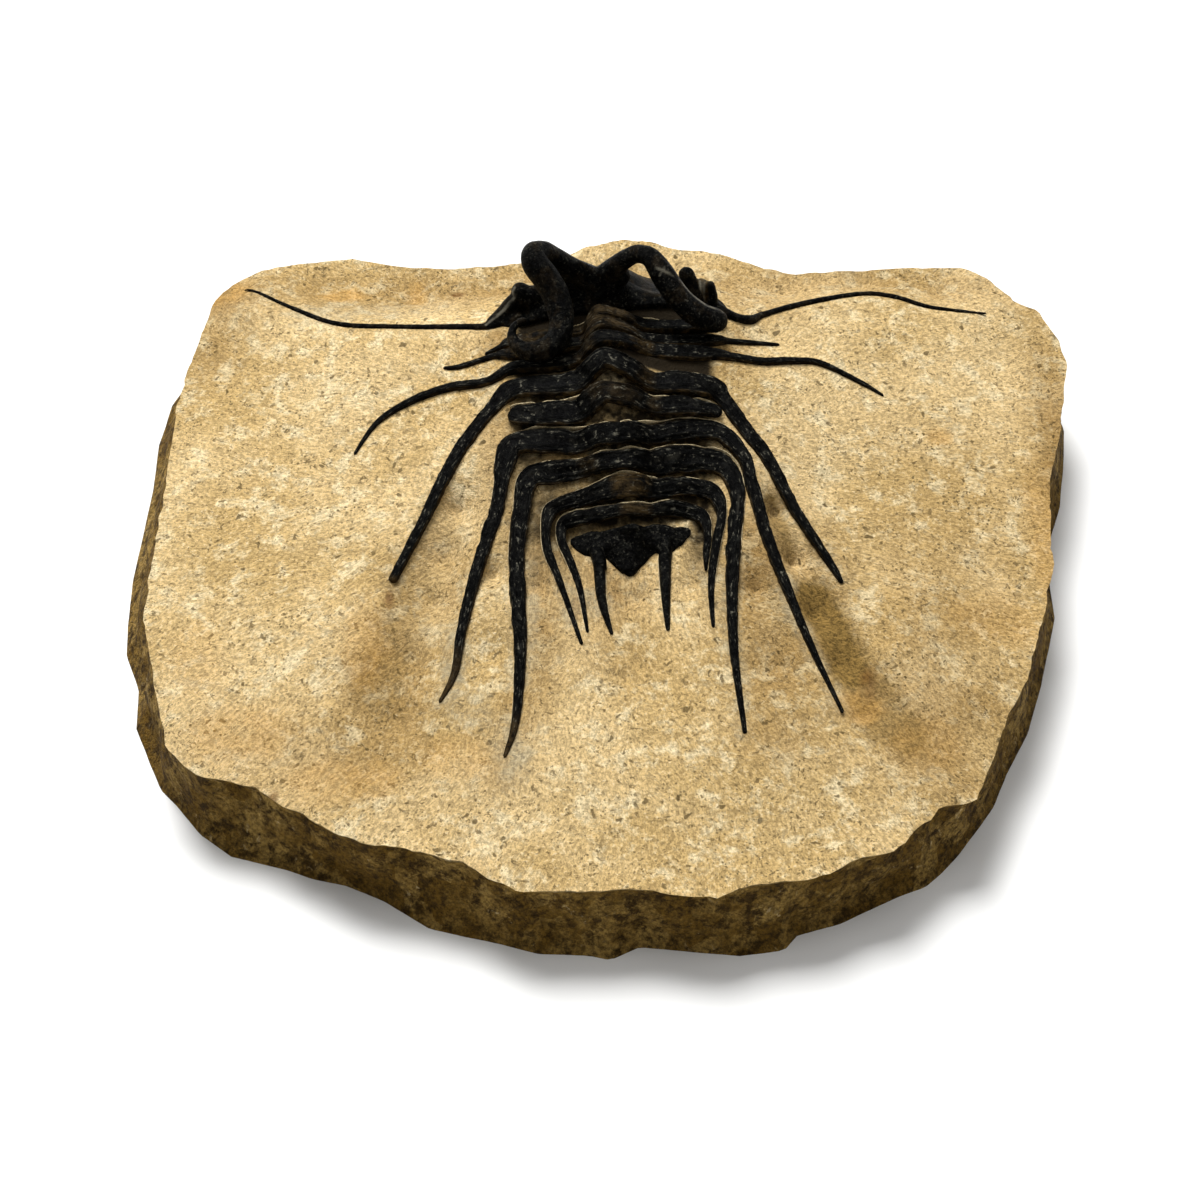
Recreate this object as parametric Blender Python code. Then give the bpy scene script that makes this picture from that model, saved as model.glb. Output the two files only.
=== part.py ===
# Dicranurus trilobite fossil on its limestone matrix.
# Lengths below are millimetres and become metres when a mesh is made.
# +X is the animal's right, +Y runs towards its head, +Z is up, and the flat underside lies on Z = 0.

import bpy
import math
import numpy as np
from mathutils import Vector
from mathutils.bvhtree import BVHTree

MM = 0.001

# Least gap between a plate and the rock under it
CLEARANCE = 0.36
# Sides of every swept band, horn and spine, and the spacing of the sections along it
SIDES = 8
SPINE_STEP = 3.3
HORN_STEP = 2.1
EYE_STEP = 1.7
PLATE_THICKNESS = 1.7

# Upper edge of the block, (x, y, z), anticlockwise seen from above, from the front middle
RIM = [
    (-0.5, -51.5, 10.6), (4, -51.3, 10.6), (7, -52.2, 10.6), (12, -52.5, 10.6), (14, -51.3, 10.7),
    (18.5, -50.4, 10.7), (23, -50.2, 10.7), (26, -48.5, 10.7), (29.5, -46.8, 10.8),
    (33, -46.2, 10.8), (35, -44.2, 10.8), (39, -40, 10.8), (43.5, -39, 10.8), (45.6, -34.6, 11),
    (47, -31, 11.1), (48.7, -27, 11.2), (52, -20.6, 11.6), (54.6, -13, 12), (55.8, -8.5, 12.2),
    (57.5, -2, 12.5), (58, 5, 12.8), (58.8, 12, 13), (61, 19, 13.2), (62.5, 26.5, 13.4),
    (64, 33.5, 13.6), (63.2, 38, 14), (61, 43.8, 14.4), (57.7, 45.7, 14.6), (54.5, 50, 15),
    (51, 51.8, 15.4), (42.3, 51.4, 15.8), (33, 50.5, 16), (26.3, 49.6, 16.2), (21.3, 50.7, 16.6),
    (15.6, 52.6, 17.4), (12.7, 52.8, 17.8), (8.6, 52.7, 18.4), (5.5, 53.8, 18.8),
    (1, 54.2, 18.8), (-1.8, 53.8, 18.4), (-5.4, 52.8, 17.8), (-7.2, 52, 17), (-16, 51.5, 16.3),
    (-25, 51, 16), (-33, 52, 15.8), (-38, 53.5, 15.8), (-45.3, 52.7, 15.4), (-51.3, 51.6, 15),
    (-55, 49, 14.6), (-57.2, 46, 14.4), (-58.5, 39, 14.2), (-59.5, 32, 13.8), (-60.2, 26, 13.6),
    (-60.2, 15, 13.2), (-60.2, 5, 12.8), (-60.3, -5, 12.5), (-60, -12, 12.2), (-59, -16, 12),
    (-57.9, -20.5, 11.7), (-56.5, -25.5, 11.4), (-55.1, -31, 11), (-52.5, -33.5, 10.8),
    (-50.5, -35.2, 10.7), (-47, -36, 10.7), (-43.7, -36.8, 10.7), (-41.3, -38.7, 10.7),
    (-37, -41, 10.7), (-33.3, -43.6, 10.7), (-28.4, -45.2, 10.7), (-24, -46, 10.7),
    (-20.5, -46.8, 10.7), (-18, -47.5, 10.6), (-15, -49.7, 10.6), (-11, -51.7, 10.6),
]
# Lower edge of the block, (x, y), in the same order
BASE = [
    (-0.5, -54.3), (3, -52.5), (8, -53), (15, -53.7), (20.3, -52.9), (22, -50.8), (27, -49.4),
    (31, -47.3), (35, -45.3), (38, -44), (40, -42.2), (42.5, -39.3), (45.3, -35.5), (47.8, -32),
    (50, -27), (53.5, -20.5), (56.2, -13), (57.6, -8), (59.5, -1.5), (59.7, 5), (60.5, 12),
    (63, 19), (64.6, 27), (65.6, 34), (64.8, 39), (62.6, 45), (58.6, 47.2), (55.3, 51.3),
    (51, 53), (42, 52.4), (33, 51.7), (26, 51), (20.5, 52), (13, 53.6), (5, 54.3), (-4, 54),
    (-8, 53), (-16, 52.6), (-25, 52.2), (-33, 53.1), (-38, 54.3), (-46, 53.8), (-53, 53),
    (-58.5, 50), (-61.8, 46), (-64.5, 39), (-65.4, 31), (-65, 22), (-65.3, 14), (-65.6, 5),
    (-65.2, -3), (-64.6, -8), (-62.2, -13.6), (-61.7, -20), (-59.2, -25.6), (-57.3, -29.5),
    (-55, -32), (-51.5, -36.3), (-47.3, -39.6), (-40, -41.7), (-37, -42.9), (-33, -43.8),
    (-28, -46), (-22.3, -50), (-13.7, -52), (-9, -53.4), (-3, -53.7),
]
# Broken side: heights of its inner levels as shares of the rim's, depth of its dents, and the
# waves of the dents (count round the block, turn from level to level, strength)
SIDE_LEVELS = (0.7, 0.35)
SIDE_BULGE = 0.7
SIDE_WAVES = [(27, 2.2, 1.0), (11, 4.0, 0.8)]
# Grid of the carved top; a crowding over 1 draws its rings towards the middle
TOP_RINGS = 17
TOP_SPOKES = 86
TOP_CROWDING = 1.15
TOP_CENTRE = (1.0, 4.0)
# Samples of the rock's height: spacing under the rings and the spines, the least distance
# between two of them, and how far the rock stays below a plate besides the clearance
BAND_SAMPLES = 1.6
SPINE_SAMPLES = 2.2
SAMPLES_APART = 1.1
CRADLE = 0.05

# Low places that the preparator cut between and behind the spines, and the ridges left beside
# them, (x, y, z)
VALLEYS = [
    (-28, 45, 14.6), (-42, 47, 14.6), (-17, 46, 15.6), (24, 45.5, 15.6), (36, 48, 15),
    (47, 47, 14.8), (-44, 26, 15.4), (45, 26, 15.4), (-52, 36, 15), (54, 34, 14.6),
    (-40, 5, 14.4), (42, 5, 14.4), (-37, -3, 14.0), (38, -3, 14.2), (-29, 8, 15.4), (29, 8, 15.6),
    (-15.5, -6, 13.6), (-15.5, -18, 12.3), (18.3, -8, 13.2), (20, -20, 12.0), (-10, -8, 13.9),
    (9.6, -8, 13.7), (3, -9, 12.9), (2, -20, 12.2), (0, -32, 11.7), (-20.4, 5, 14.0),
    (-22.0, -2, 12.6), (-23.4, -9, 11.8), (-24.8, -18, 11.4), (-26.4, -27, 11.2), (21.0, 4, 14.2),
    (23.0, -3, 12.6), (25.4, -11, 11.7), (28.0, -19, 11.3), (31.0, -27, 11.2), (-30.2, -11, 14.4),
    (-32.0, -18, 14.0), (-33.8, -27, 13.0), (-42, -16, 13.0), (31.0, -13, 14.7),
    (33.8, -19, 14.3), (36.6, -25.4, 13.4), (44, -10, 13.4), (44, -26, 12.4),
]

# Middle line of each body ring, (x, y, z, width): left corner, left half, left furrow, crown,
# right furrow, right half, right corner
RINGS = [
    [(-13.4, 28.9, 22.2, 2.0), (-8.8, 29.3, 22.9, 2.2), (-4.3, 29.9, 23.2, 2.2),
     (-1.6, 30.6, 26.2, 2.2),
     (4.3, 31.0, 23.3, 2.1), (8.5, 31.2, 22.9, 2.1), (13.8, 32.0, 22.6, 1.6)],
    [(-13.4, 26.1, 22.7, 2.0), (-8.8, 26.4, 23.6, 2.2), (-4.2, 26.9, 23.9, 2.3),
     (-1.6, 27.6, 26.9, 2.3),
     (4.5, 27.7, 23.9, 2.0), (8.8, 27.5, 23.6, 1.9), (13.6, 28.4, 22.9, 1.6)],
    [(-13.1, 23.1, 22.9, 1.6), (-8.0, 22.4, 24.1, 1.8), (-4.6, 23.3, 24.3, 2.2),
     (-1.5, 24.1, 27.5, 2.4),
     (5.0, 25.0, 24.4, 2.4), (8.8, 24.8, 24.1, 2.3), (13.3, 25.5, 23.2, 1.9)],
    [(-13.0, 19.5, 22.6, 3.1), (-8.0, 18.6, 24.1, 3.2), (-4.6, 18.9, 24.4, 3.3),
     (-1.0, 20.2, 27.5, 3.0),
     (5.2, 18.9, 24.4, 2.9), (9.0, 19.3, 24.1, 3.3), (13.0, 19.5, 22.8, 3.4)],
    [(-13.0, 15.7, 21.4, 2.8), (-8.0, 14.6, 22.9, 3.4), (-4.6, 14.6, 23.2, 3.6),
     (-0.9, 15.1, 26.3, 3.2),
     (5.2, 15.5, 23.4, 2.5), (9.0, 16.0, 22.9, 2.6), (13.0, 16.4, 21.7, 2.0)],
    [(-13.3, 11.4, 20.0, 3.2), (-8.0, 11.5, 20.9, 3.3), (-4.8, 10.9, 21.2, 3.2),
     (0.6, 9.8, 24.1, 3.0),
     (5.2, 12.0, 21.4, 2.9), (9.0, 13.4, 21.0, 2.7), (14.0, 13.7, 20.2, 2.5)],
    [(-10.9, 7.0, 18.4, 2.8), (-7.0, 7.4, 19.4, 3.0), (-4.6, 7.4, 19.8, 2.6),
     (1.0, 6.9, 22.1, 2.6),
     (5.2, 8.2, 20.2, 3.3), (9.0, 9.6, 19.5, 3.7), (14.1, 9.7, 18.3, 3.1)],
    [(-8.2, 2.5, 17.1, 1.9), (-6.0, 3.1, 18.2, 2.3), (-4.0, 3.5, 18.5, 2.4),
     (1.7, 4.1, 20.3, 3.4),
     (5.2, 4.6, 19.0, 2.9), (9.0, 5.8, 18.3, 2.5), (13.0, 5.3, 17.5, 2.4)],
    [(-6.6, 0.8, 16.1, 1.6), (-5.0, 1.0, 17.2, 2.0), (-3.4, 1.2, 17.4, 2.1),
     (1.6, 1.3, 18.6, 1.7),
     (5.2, 1.9, 17.8, 1.8), (8.0, 2.7, 17.3, 2.3), (11.2, 2.2, 16.6, 2.0)],
]
CROWN = 3
# Shoulder of the raised axis, as shares of the way from crown to furrow, flat and down
SHOULDER = (0.48, 0.33)
# Over 1 keeps a spine's width further along it
SPINE_TAPER = 1.7
# A ring leans with the back of the body near its axis, and lies level beyond this distance
LEVEL_FROM = 8.0
LEVEL_SPAN = 6.0

# Side spines of each ring: width at the root, width at the tip, route outward from the corner
LEFT_SPINES = [
    (0.8, 0.45, [(-15.4, 28.2, 21.7), (-17.4, 27.8, 20.9)]),
    (0.9, 0.4, [(-16.2, 26.8, 21.4), (-20.8, 26.5, 19.8), (-23.1, 26.9, 19.2)]),
    (1.3, 0.4, [(-16.9, 22.3, 21.0), (-22.3, 23.0, 19.2), (-27.7, 21.8, 17.6),
                (-31.9, 18.9, 16.5), (-34.6, 14.1, 15.5)]),
    (1.9, 1.1, [(-15.8, 17.6, 21.0), (-19.2, 13.8, 19.0), (-22.1, 8.5, 17.3), (-24.5, 2.5, 15.8),
                (-28.4, -7.1, 14.1)]),
    (2.2, 2.2, [(-13.9, 15.9, 21.2)]),
    (2.0, 0.4, [(-14.6, 5.7, 18.6), (-15.3, 1.5, 17.4), (-17.5, -6.5, 15.5), (-19.1, -15.0, 14.1),
                 (-19.8, -21.3, 13.3), (-21.5, -25.5, 12.9)]),
    (2.3, 0.45, [(-11.9, 2.2, 17.3), (-12.4, -4.4, 16.2), (-12.0, -12.2, 14.7), (-11.7, -18.5, 13.7),
                (-12.0, -27.8, 12.7), (-13.3, -33.4, 12.3)]),
    (1.25, 0.45, [(-8.7, -0.5, 16.6), (-8.4, -3.5, 16.0), (-6.8, -8.1, 15.2), (-4.0, -17.1, 13.8)]),
    (1.15, 0.4, [(-6.6, -1.6, 15.6), (-5.3, -5.1, 15.0), (-4.2, -9.0, 14.4), (-3.3, -15.0, 13.6)]),
]
RIGHT_SPINES = [
    (0.7, 0.7, [(15.5, 32.6, 22.0)]),
    (0.9, 0.4, [(16.0, 29.4, 21.7), (18.9, 30.1, 20.8), (22.9, 30.8, 19.8)]),
    (1.2, 0.35, [(16.1, 25.6, 22.4), (20.4, 26.2, 21.0), (24.6, 27.4, 20.0), (28.5, 27.9, 19.0),
                 (34.1, 25.8, 17.3), (36.9, 24.1, 16.6)]),
    (2.1, 0.5, [(14.9, 18.0, 21.5), (17.5, 14.3, 20.0), (20.2, 10.6, 18.6), (23.7, 3.1, 16.5),
                (27.7, -4.2, 14.8), (29.2, -7.4, 14.3)]),
    (1.6, 1.6, [(14.0, 15.6, 21.2)]),
    (1.85, 0.45, [(17.0, 10.3, 19.3), (18.0, 6.7, 18.3), (19.8, -1.5, 16.4), (22.1, -9.1, 14.9),
                (24.7, -17.5, 13.7), (28.0, -27.0, 12.8)]),
    (2.0, 0.55, [(16.1, 5.4, 17.6), (15.5, -1.5, 16.2), (15.0, -9.5, 14.9), (15.0, -18.4, 13.6),
                (15.9, -30.0, 12.6)]),
    (1.3, 0.45, [(14.0, 2.2, 16.9), (13.3, -1.6, 16.2), (12.4, -8.0, 14.9), (12.5, -14.4, 13.9)]),
    (1.1, 0.35, [(12.1, -0.2, 16.1), (11.9, -3.4, 15.4), (11.8, -5.9, 15.0)]),
]

# Head shield: outline from its back left corner round the front, (x, y, z)
HEAD_OUTLINE = [
    (-14.4, 32.2, 22.0), (-15.2, 34.2, 21.4), (-14.0, 37.5, 21.0), (-11.0, 41.5, 20.0),
    (-6.5, 45.0, 18.6), (0.0, 46.5, 18.2), (6.5, 45.6, 18.6), (11.5, 42.8, 20.0),
    (14.8, 38.8, 21.0), (15.8, 36.4, 21.6), (15.2, 35.0, 22.2), (9.0, 34.7, 23.6),
    (4.0, 34.0, 24.2), (0.0, 33.3, 24.3), (-4.5, 32.9, 24.0), (-9.0, 32.8, 23.1),
]
HEAD_CENTRE = (0.2, 38.0)
HEAD_DOME = 1.9
HEAD_DEPTH = 2.0
HEAD_RINGS = 6
HEAD_SPOKES = 36
# Lobes raised on the head: middle, half widths, height
HEAD_LOBES = [
    dict(at=(0.4, 40.0), size=(4.4, 5.4), height=3.4),
    dict(at=(-8.4, 35.7), size=(4.6, 3.0), height=2.3),
    dict(at=(9.8, 37.0), size=(4.0, 3.4), height=1.8),
]
# How fast a lobe falls off at its half widths, and how close to the edge it still stands up
LOBE_FALL = 1.4
EDGE_HOLD = 6
# A shield's underside keeps this least thickness at its edge, and this much more than the
# clearance over the rock
SHIELD_EDGE = 0.6
SHIELD_LIFT = 0.25

# Swept parts of the head: (x, y, z, width) along each
GENAL_LEFT = [
    (-12.0, 33.6, 22.4, 2.2), (-14.8, 33.4, 21.8, 1.5), (-17.2, 33.0, 21.2, 1.1),
    (-21.5, 34.0, 20.2, 0.9), (-29.5, 35.5, 18.8, 0.8), (-38.3, 37.6, 17.4, 0.8),
    (-45.0, 41.7, 16.5, 0.7), (-51.0, 46.0, 15.9, 0.5), (-52.8, 46.4, 15.7, 0.4),
]
GENAL_RIGHT = [
    (12.4, 36.0, 23.0, 2.2), (15.0, 34.8, 22.3, 1.6), (17.2, 34.1, 21.7, 1.3),
    (19.0, 34.5, 21.0, 1.5), (20.8, 36.0, 20.6, 1.0), (26.5, 39.3, 19.6, 0.9),
    (34.7, 42.9, 18.2, 0.8), (39.8, 43.0, 17.6, 0.8), (44.9, 41.5, 17.0, 0.7),
    (53.1, 41.0, 16.2, 0.4),
]
# Base of the horns and the eyes: (x, y, z, width, depth) along each
HORN_TRUNK = [
    (-1.9, 35.4, 22.6, 9.2, 3.4), (-2.2, 35.6, 24.6, 9.0, 3.2), (-2.4, 35.9, 26.2, 7.6, 3.0),
    (-2.3, 36.0, 27.6, 5.2, 2.6),
]
WEB_LEFT = [
    (-0.5, 36.0, 26.6, 4.4, 2.8), (-3.5, 36.0, 27.0, 5.2, 2.7), (-6.2, 35.9, 28.5, 5.4, 2.6),
    (-8.2, 35.6, 30.4, 4.4, 2.5),
]
WEB_RIGHT = [
    (-3.0, 36.0, 26.4, 4.4, 2.8), (-0.2, 36.0, 27.6, 4.8, 2.8), (1.7, 35.9, 29.4, 4.2, 2.8),
]
CHEEK_LEFT = [
    (-13.0, 35.4, 23.6, 3.8, 2.6), (-11.0, 35.7, 23.9, 4.3, 2.8), (-8.5, 35.8, 23.8, 4.5, 2.8),
    (-5.5, 35.9, 23.4, 4.6, 2.8),
]
CHEEK_EDGE = [
    (-12.8, 35.6, 24.6, 2.0), (-13.8, 35.1, 23.5, 2.3), (-15.2, 34.2, 22.4, 2.0),
    (-17.3, 33.2, 21.2, 1.2),
]
HORN_LEFT = [
    (-2.0, 36.2, 27.3, 2.8), (-5.0, 36.0, 28.9, 2.8), (-7.6, 35.7, 31.1, 2.8),
    (-9.3, 35.0, 32.8, 3.0), (-10.6, 33.6, 33.6, 3.3), (-10.3, 32.3, 33.0, 3.6),
    (-8.9, 31.2, 31.4, 3.8), (-7.6, 29.6, 29.8, 3.7), (-6.9, 27.3, 28.1, 3.4),
    (-7.2, 24.9, 26.9, 3.2), (-9.0, 23.2, 26.3, 3.0), (-11.4, 22.8, 26.2, 2.6),
    (-13.2, 24.3, 26.5, 1.7), (-13.4, 26.0, 27.1, 1.1), (-12.5, 27.0, 27.6, 0.9),
    (-11.3, 27.2, 27.8, 0.7),
]
HORN_RIGHT = [
    (-1.9, 36.2, 27.2, 2.8), (0.7, 35.9, 29.9, 2.7), (3.0, 35.8, 31.7, 2.5),
    (4.9, 34.7, 32.2, 2.7), (6.4, 33.0, 31.1, 3.3), (7.8, 31.5, 29.6, 3.3),
    (9.5, 30.2, 28.0, 3.4), (11.7, 29.4, 26.5, 3.5), (13.8, 29.6, 25.5, 3.4),
    (15.0, 30.6, 25.1, 2.9),
]
EYE_LEFT = [
    (-12.0, 35.3, 22.8, 4.2, 2.8), (-12.3, 35.6, 24.4, 3.5, 2.6), (-12.8, 35.9, 25.7, 2.5, 2.2),
    (-13.0, 36.0, 26.4, 1.7, 1.6),
]
EYE_RIGHT_INNER = [
    (11.8, 34.9, 22.8, 2.4, 2.4), (10.8, 36.0, 25.4, 2.4, 1.9), (9.6, 37.3, 28.2, 2.2, 1.2),
]
EYE_RIGHT_OUTER = [
    (13.6, 35.4, 22.4, 1.6, 2.0), (13.7, 35.8, 24.4, 1.3, 1.7), (13.2, 36.5, 26.4, 1.1, 1.2),
]
EYE_RIGHT_MIDDLE = [
    (12.8, 36.2, 22.0, 2.4, 1.7), (12.4, 36.4, 24.6, 2.3, 1.3), (11.8, 36.9, 26.5, 1.8, 1.0),
]

# Tail shield: outline from its left wing round the front edge, (x, y, z)
TAIL_OUTLINE = [
    (-5.6, -0.9, 15.5), (-5.0, -2.1, 15.2), (-3.4, -3.2, 15.0), (-1.2, -3.4, 14.9),
    (0.3, -4.5, 14.6), (2.1, -6.0, 14.3), (3.8, -4.6, 14.7), (5.0, -3.2, 15.0),
    (7.2, -3.0, 15.2), (8.9, -1.8, 15.7), (10.2, 0.2, 16.1), (7.5, 0.5, 16.6),
    (2.3, -0.5, 17.4), (-3.4, -0.4, 16.2),
]
TAIL_CENTRE = (2.2, -1.9)
TAIL_DOME = 0.9
TAIL_DEPTH = 1.2
TAIL_RINGS = 3
TAIL_SPOKES = 24
TAIL_SPINE_LEFT = [
    (-2.4, -1.8, 15.7, 1.7), (-1.9, -4.8, 15.1, 1.6), (-1.5, -10.4, 14.4, 1.2),
    (-0.2, -15.5, 13.7, 0.45),
]
TAIL_SPINE_RIGHT = [
    (6.6, -0.8, 16.0, 1.9), (6.6, -3.6, 15.4, 1.7), (6.6, -9.5, 14.5, 1.25),
    (6.8, -15.0, 13.9, 0.5),
]


def smooth_route(points, step):
    """Points about one step apart on a smooth curve through the given ones."""
    knots = np.array(points, float)
    spans = []
    for i in range(len(knots) - 1):
        a = knots[max(i - 1, 0)]
        b, c = knots[i], knots[i + 1]
        d = knots[min(i + 2, len(knots) - 1)]
        count = max(1, round(float(np.linalg.norm((c - b)[:3])) / step))
        t = (np.arange(count) / count)[:, None]
        spans.append(0.5 * (2 * b + (c - a) * t + (2 * a - 5 * b + 4 * c - d) * t ** 2
                            + (3 * b - a - 3 * c + d) * t ** 3))
    spans.append(knots[-1:])
    return np.concatenate(spans)


def outline_at(points, angle):
    """Points where spokes at the given angles meet a closed outline round the block's centre."""
    knots = np.array(points, float)
    turn = np.unwrap(np.arctan2(knots[:, 1] - TOP_CENTRE[1], knots[:, 0] - TOP_CENTRE[0]))
    turn = np.concatenate([turn, turn[:1] + 2 * math.pi])
    knots = np.concatenate([knots, knots[:1]])
    start = turn[0] + (angle - turn[0]) % (2 * math.pi)
    return np.stack([np.interp(start, turn, knots[:, i]) for i in range(knots.shape[1])], axis=1)


def closed_loop(points, count):
    """Points evenly spaced along the closed polygon through the given ones."""
    knots = np.array(list(points) + [points[0]], float)
    along = np.concatenate([[0], np.cumsum(np.linalg.norm(np.diff(knots[:, :2], axis=0), axis=1))])
    wanted = np.linspace(0, along[-1], count, endpoint=False)
    return np.stack([np.interp(wanted, along, knots[:, i]) for i in range(3)], axis=1)


def material(name, color, roughness):
    made = bpy.data.materials.new(name)
    made.use_nodes = True
    shader = made.node_tree.nodes["Principled BSDF"]
    shader.inputs["Base Color"].default_value = (*color, 1)
    shader.inputs["Roughness"].default_value = roughness
    shader.inputs["Metallic"].default_value = 0
    return made


def mesh_object(name, points, faces, skin):
    mesh = bpy.data.meshes.new(name)
    mesh.from_pydata([tuple(p) for p in np.asarray(points) * MM], [], faces)
    mesh.validate()
    mesh.shade_smooth()
    mesh.set_sharp_from_angle(angle=math.radians(50))
    mesh.materials.append(skin)
    made = bpy.data.objects.new(name, mesh)
    bpy.context.scene.collection.objects.link(made)
    return made


def ring_path(row, left, right):
    """Middle line of one body ring with its side spines: (x, y, z, width, thickness)."""
    line = [(*station, PLATE_THICKNESS) for station in row]
    crown = np.array(line[CROWN])
    slide = np.array([SHOULDER[0], SHOULDER[0], SHOULDER[1], SHOULDER[0], 0])
    shoulders = [tuple(crown + (np.array(line[CROWN + way]) - crown) * slide) for way in (-1, 1)]
    body = line[:CROWN] + [shoulders[0], line[CROWN], shoulders[1]] + line[CROWN + 1:]
    spines = []
    for root, tip, route in (left, right):
        wide = root + (tip - root) * np.linspace(0, 1, len(route)) ** SPINE_TAPER
        spines.append([(*p, w, min(w, PLATE_THICKNESS)) for p, w in zip(route, wide)])
    return spines[0][::-1] + body + spines[1]


def directions_of(path):
    """Unit vector along a path at each of its points."""
    along = np.gradient(path[:, :3], axis=0)
    along /= np.linalg.norm(along, axis=1)[:, None]
    return along


def sweep(path, up):
    """Rings of points round a path of (x, y, z, width, thickness), as rounded bands."""
    along = directions_of(path)
    across = np.cross(along, up)
    across /= np.linalg.norm(across, axis=1)[:, None]
    lift = np.cross(across, along)
    angle = (np.arange(SIDES) + 0.5) * 2 * math.pi / SIDES
    wide = path[:, 3, None] / 2 / math.cos(math.pi / SIDES)
    thick = path[:, 4, None] / 2 / math.cos(math.pi / SIDES)
    rings = path[:, None, :3] + (wide * np.cos(angle))[..., None] * across[:, None]
    return rings + (thick * np.sin(angle))[..., None] * lift[:, None]


def tube_faces(count, sides):
    faces = []
    for i in range(count - 1):
        for j in range(sides):
            k = (j + 1) % sides
            faces.append((i * sides + j, (i + 1) * sides + j, (i + 1) * sides + k, i * sides + k))
    faces.append(tuple(range(sides)))
    faces.append(tuple((count - 1) * sides + j for j in reversed(range(sides))))
    return faces


def lean_of_ring(index):
    """Direction square to the back of the body at one ring."""
    before = RINGS[max(index - 1, 0)][CROWN]
    after = RINGS[min(index + 1, len(RINGS) - 1)][CROWN]
    slope = math.atan2(before[2] - after[2], before[1] - after[1])
    return np.array([0, -math.sin(slope), math.cos(slope)])


def lift_clear(rings, ground):
    """Raises each ring of points until all of it clears the ground under it."""
    for ring in rings:
        need = 0.0
        for p in ring:
            hit = ground.ray_cast(Vector((p[0], p[1], 90)), Vector((0, 0, -1)))[0]
            if hit is not None:
                need = max(need, hit.z + CLEARANCE - p[2])
        ring[:, 2] += need
    return rings


def below(path, thickness, step):
    """Points of the rock under a band or spine, a clearance below its underside."""
    line = smooth_route(path, step)
    return line[:, :3] - np.outer(line[:, thickness] / 2 + CLEARANCE + CRADLE, [0, 0, 1])


def ground_samples():
    """Places where the height of the rock is known: under every plate and spine, and at the rim."""
    known = [np.array(RIM, float), np.array(VALLEYS, float)]
    for row, left, right in zip(RINGS, LEFT_SPINES, RIGHT_SPINES):
        known.append(below(ring_path(row, left, right), 4, BAND_SAMPLES))
    for route in (GENAL_LEFT, GENAL_RIGHT, TAIL_SPINE_LEFT, TAIL_SPINE_RIGHT):
        known.append(below(route, 3, SPINE_SAMPLES)[1:])
    known.append(closed_loop(HEAD_OUTLINE, HEAD_SPOKES // 2) - [0, 0, HEAD_DEPTH])
    known.append(closed_loop(TAIL_OUTLINE, len(TAIL_OUTLINE)) - [0, 0, TAIL_DEPTH])
    return np.concatenate(known)


def spread_apart(points, least):
    """Drops each point that lies closer than the least distance to one already kept."""
    kept = []
    for p in points:
        if all((p[0] - q[0]) ** 2 + (p[1] - q[1]) ** 2 >= least ** 2 for q in kept):
            kept.append(p)
    return np.array(kept)


def fit_ground():
    """Cone weights whose sum passes through every known height, so that spines lie on crests."""
    known = spread_apart(ground_samples(), SAMPLES_APART)
    apart = np.linalg.norm(known[:, None, :2] - known[None, :, :2], axis=2)
    count = len(known)
    system = np.ones((count + 1, count + 1))
    system[:count, :count] = apart
    system[count, count] = 0
    weights = np.linalg.solve(system, np.append(known[:, 2], 0))
    return known[:, :2], weights


def ground_height(fit, x, y):
    centres, weights = fit
    apart = np.hypot(x[..., None] - centres[:, 0], y[..., None] - centres[:, 1])
    return apart @ weights[:-1] + weights[-1]


def make_matrix(skin):
    """The block: a carved top, a broken side in three levels and a flat sawn base."""
    fit = fit_ground()
    angle = np.arange(TOP_SPOKES) * 2 * math.pi / TOP_SPOKES
    rim, base = outline_at(RIM, angle), outline_at(BASE, angle)
    centre = np.array(TOP_CENTRE)
    points = [(*centre, float(ground_height(fit, centre[0:1], centre[1:2])[0]))]
    for i in range(1, TOP_RINGS + 1):
        flat = centre + (rim[:, :2] - centre) * (i / TOP_RINGS) ** TOP_CROWDING
        high = rim[:, 2] if i == TOP_RINGS else ground_height(fit, flat[:, 0], flat[:, 1])
        points.extend(np.column_stack([flat, high]))
    outward = np.column_stack([np.cos(angle), np.sin(angle)])
    for level, share in enumerate(SIDE_LEVELS):
        rough = sum(strength * np.sin(angle * waves + level * turn)
                    for waves, turn, strength in SIDE_WAVES)
        dent = SIDE_BULGE * np.abs(rough)
        flat = rim[:, :2] * share + base * (1 - share) - outward * dent[:, None]
        points.extend(np.column_stack([flat, rim[:, 2] * share]))
    points.extend(np.column_stack([base, np.zeros(TOP_SPOKES)]))
    loops = TOP_RINGS + len(SIDE_LEVELS) + 1
    faces = [(0, 1 + j, 1 + (j + 1) % TOP_SPOKES) for j in range(TOP_SPOKES)]
    for i in range(loops - 1):
        for j in range(TOP_SPOKES):
            k = (j + 1) % TOP_SPOKES
            a, b = 1 + i * TOP_SPOKES, 1 + (i + 1) * TOP_SPOKES
            faces.append((a + j, b + j, b + k))
            faces.append((a + j, b + k, a + k))
    last = 1 + (loops - 1) * TOP_SPOKES
    faces.append(tuple(last + j for j in reversed(range(TOP_SPOKES))))
    made = mesh_object("matrix", points, faces, skin)
    ground = BVHTree.FromPolygons([Vector(p) for p in points], faces)
    return made, ground


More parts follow.
